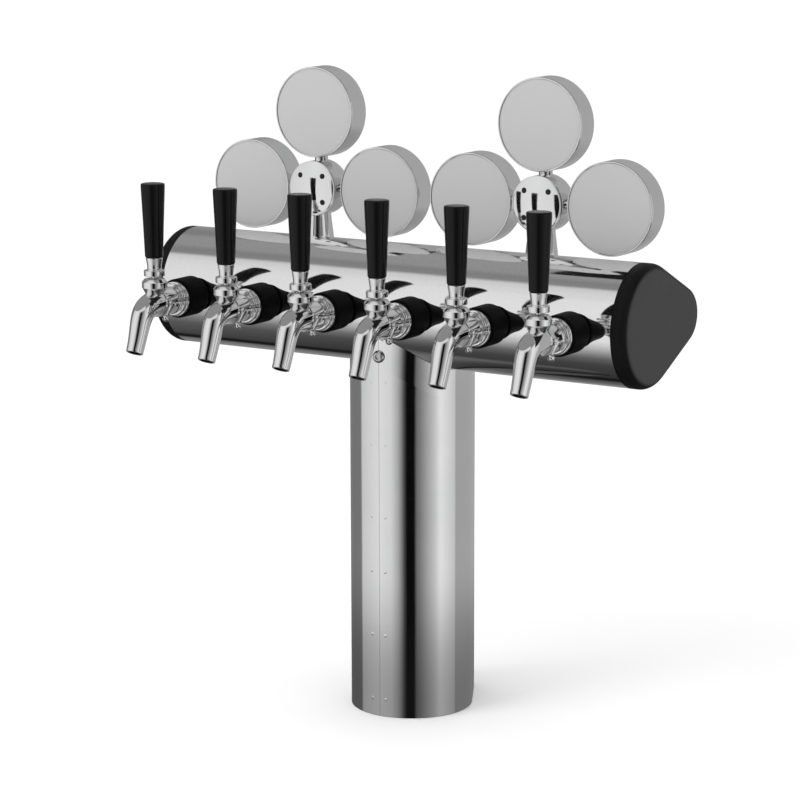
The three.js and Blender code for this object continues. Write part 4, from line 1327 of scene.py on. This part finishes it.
def post():
    """The cone between the beam's slope and the hub."""
    bm = bmesh.new()
    rings = [[] for _ in range(POST_ROWS + 1)]
    for angle in around(POST_SIDES):
        foot_r = POST_TOP_R
        foot_z = post_shoulder
        for _ in range(8):
            foot_z = AXIS_Z + half_height(POST_Y + foot_r * math.sin(angle)) - 0.2
            foot_r = POST_TOP_R + POST_SPREAD * (post_shoulder - foot_z)
        head_z = HUB_Z - math.sqrt((HUB_R - 0.2) ** 2 - (POST_TOP_R * math.cos(angle)) ** 2)
        for row in range(POST_ROWS + 1):
            share = (row / POST_ROWS) ** 1.6
            z = foot_z + (head_z - foot_z) * share
            radius = POST_TOP_R + POST_SPREAD * max(0.0, post_shoulder - z)
            radius += FLARE * max(0.0, 1 - (z - foot_z) / FLARE_RISE) ** 2
            spot = (radius * math.cos(angle), POST_Y + radius * math.sin(angle), z)
            rings[row].append(bm.verts.new(spot))
    return capped(bm, rings)


def grub_screw():
    """The small socket screw in the front of a post."""
    corners = [(0, 0), (2.0, 0), (2.0, 1.7, 0.2), (1.4, 1.7), (1.2, 1.5), (1.2, 0.4), (0, 0.4)]
    return turned(corners, "front", sides=36)


post_mesh = mesh_from("post", post(), cross_chrome)
grub_mesh = mesh_from("grub_screw", grub_screw(), socket_dark)
GRUB_DROP = 10
GRUB_ASIDE = -7
GRUB_SUNK = 1.4
for side in SIDES:
    x = hub_centres[side].x
    put(f"post_cone_{side}", post_mesh, "tower", (x, 0, 0), [f"post_{side}"])
    radius = POST_TOP_R + POST_SPREAD * GRUB_DROP
    skin = POST_Y - math.sqrt(radius ** 2 - GRUB_ASIDE ** 2)
    spot = (x + GRUB_ASIDE, skin + GRUB_SUNK, post_shoulder - GRUB_DROP)
    put(f"post_grub_screw_{side}", grub_mesh, "tower", spot)
print("post:", len(post_mesh.polygons), "faces")

# %% [markdown]
# ## Hubs
# The hub is a short cup with three stubs that carry the medallions. A slightly domed plate closes
# its front with four blackened screws, each square to the dome, and a dark line shows where plate
# and cup meet. The dome matters in a mirror: it gathers the whole room into a few narrow bars.

# %% Make the hubs
STUB_R = 7.0
STUB_ROWS = 6
STUB_SIDES = 48
STUB_DIRECTIONS = (math.pi, math.pi / 2, 0)
SCREW_CIRCLE = 19.5


def stub(angle):
    """A short round bar from the hub to a medallion, its end cut to the medallion's side."""
    bm = bmesh.new()
    rings = []
    for row in range(STUB_ROWS + 1):
        ring = []
        for spin in around(STUB_SIDES):
            across, depth = STUB_R * math.cos(spin), STUB_R * math.sin(spin)
            start = math.sqrt((HUB_R - 2) ** 2 - across ** 2)
            end = BADGE_ARM - math.sqrt((BADGE_R - 0.4) ** 2 - across ** 2)
            out_by = start + (end - start) * row / STUB_ROWS
            x = out_by * math.cos(angle) - across * math.sin(angle)
            z = out_by * math.sin(angle) + across * math.cos(angle)
            ring.append(bm.verts.new((x, STUB_Y + depth, z)))
        rings.append(ring)
    return capped(bm, rings)


hub = turned([
    (0, -HUB_BACK), (HUB_R, -HUB_BACK, 2.6), (HUB_R, -PLATE_BACK - 0.3, 0.4),
    (HUB_R - 1.4, -PLATE_BACK - 0.1), (0, -PLATE_BACK - 0.1),
], "front", sides=120, steps=6)
hub_mesh = mesh_from("hub", joined(hub, *[stub(angle) for angle in STUB_DIRECTIONS]), cross_chrome)
PLATE_SAG = 3.0
PLATE_PROUD = 1.1


def on_dome(radius):
    """How far forward the plate's dome stands at a radius."""
    return -PLATE_FRONT + PLATE_PROUD - PLATE_SAG * (radius / HUB_R) ** 2


plate_dome = [(HUB_R, on_dome(HUB_R) - 0.4, 0.5)]
for step in range(1, 25):
    radius = (HUB_R - 0.5) * (1 - step / 24)
    plate_dome.append((radius, on_dome(radius)))
plate = turned([
    (0, -PLATE_BACK + 0.1), (HUB_R - 0.9, -PLATE_BACK + 0.1), (HUB_R, -PLATE_BACK + 0.5, 0.3),
] + plate_dome, "front", sides=120, steps=6)
plate_mesh = mesh_from("hub_plate", plate, cross_chrome)
SCREW_ANGLES = [math.pi / 4 + math.pi / 2 * k for k in range(4)]


def plate_screw(angle):
    """A flat-headed socket screw, square to the dome where it sits."""
    screw = turned([
        (0, -0.9), (2.9, -0.9), (2.9, 0.2, 0.15), (1.8, 0.22, 0.05), (1.7, 0.08), (0, 0.08),
    ], "front", sides=48)
    slope = math.atan(2 * PLATE_SAG * SCREW_CIRCLE / HUB_R ** 2)
    outward = Vector((math.cos(angle), 0, math.sin(angle)))
    facing = outward * math.sin(slope) + Vector((0, -math.cos(slope), 0))
    tilt = Vector((0, -1, 0)).rotation_difference(facing).to_matrix()
    bmesh.ops.rotate(screw, matrix=tilt, verts=screw.verts)
    return screw


screw_meshes = []
for k, angle in enumerate(SCREW_ANGLES):
    screw_meshes.append(mesh_from(f"plate_screw_{k + 1}", plate_screw(angle), socket_dark))
for side in SIDES:
    centre = hub_centres[side]
    middle = (centre.x, 0, HUB_Z)
    put(f"hub_cup_{side}", hub_mesh, "tower", middle, [f"hub_{side}"])
    put(f"hub_front_{side}", plate_mesh, "tower", middle, [f"hub_plate_{side}"])
    for k, angle in enumerate(SCREW_ANGLES):
        across, rise = SCREW_CIRCLE * math.cos(angle), SCREW_CIRCLE * math.sin(angle)
        spot = (centre.x + across, -on_dome(SCREW_CIRCLE), HUB_Z + rise)
        put(f"plate_screw_{side}_{k + 1}", screw_meshes[k], "tower", spot)
print("hub:", len(hub_mesh.polygons), "faces, plate screws:", len(SIDES) * len(SCREW_ANGLES))

# %% [markdown]
# ## Medallions
# A medallion is a chrome can with a rounded back, a narrow bright bezel and a satin disc that
# takes a picture or a lamp's light. The disc is left blank. It is slightly crowned, so that light
# rolls across it as it does on a real one.

# %% Make the medallions
BEZEL = 1.5
DISC_R = BADGE_R - BEZEL
CROWN = 0.7
CAN_ROUND = 3.0
GROOVE = 0.35
rim = -BADGE_FRONT

can = turned([
    (0, -BADGE_BACK), (BADGE_R, -BADGE_BACK, CAN_ROUND), (BADGE_R, rim - 2.2, 0.3),
    (BADGE_R - GROOVE, rim - 1.9, 0.2), (BADGE_R - GROOVE, rim - 1.5, 0.2), (BADGE_R, rim - 1.2, 0.3),
    (BADGE_R, rim, 0.8), (DISC_R + 0.2, rim, 0.3), (DISC_R + 0.2, rim - 1.6), (0, rim - 1.6),
], "front", sides=144, steps=6)
can_mesh = mesh_from("medallion_can", can, cross_chrome)
dome = [(0, rim - 1.5), (DISC_R - 0.1, rim - 1.5), (DISC_R - 0.1, rim - CROWN - 0.3, 0.3)]
for step in range(1, 13):
    share = 1 - step / 12
    dome.append((DISC_R * share * 0.99, rim - 0.1 - CROWN * share * share))
disc_mesh = mesh_from("medallion_disc", turned(dome, "front", sides=144), medallion_satin)
for i, centre in badge_centres.items():
    spot = (centre.x, 0, centre.z)
    put(f"medallion_can_{i}", can_mesh, "tower", spot, [f"badge_{i}"])
    put(f"medallion_disc_{i}", disc_mesh, "tower", spot)
print("medallion:", len(can_mesh.polygons) + len(disc_mesh.polygons), "faces")

# %% [markdown]
# ## Pieces kept from the design
# The shuttles and the base flange are hidden inside, and their plain shapes are already right.
# They keep the design's own mesh and only get their metal.

# %% Dress what is carried over
KEPT = {"base_flange": flange_steel}
for number in range(1, 7):
    KEPT[f"shuttle_{number}"] = valve_brass
for name, metal in KEPT.items():
    kept = frame["nodes"][name]
    kept.data.materials.clear()
    kept.data.materials.append(metal)
print("kept from the design:", len(KEPT))
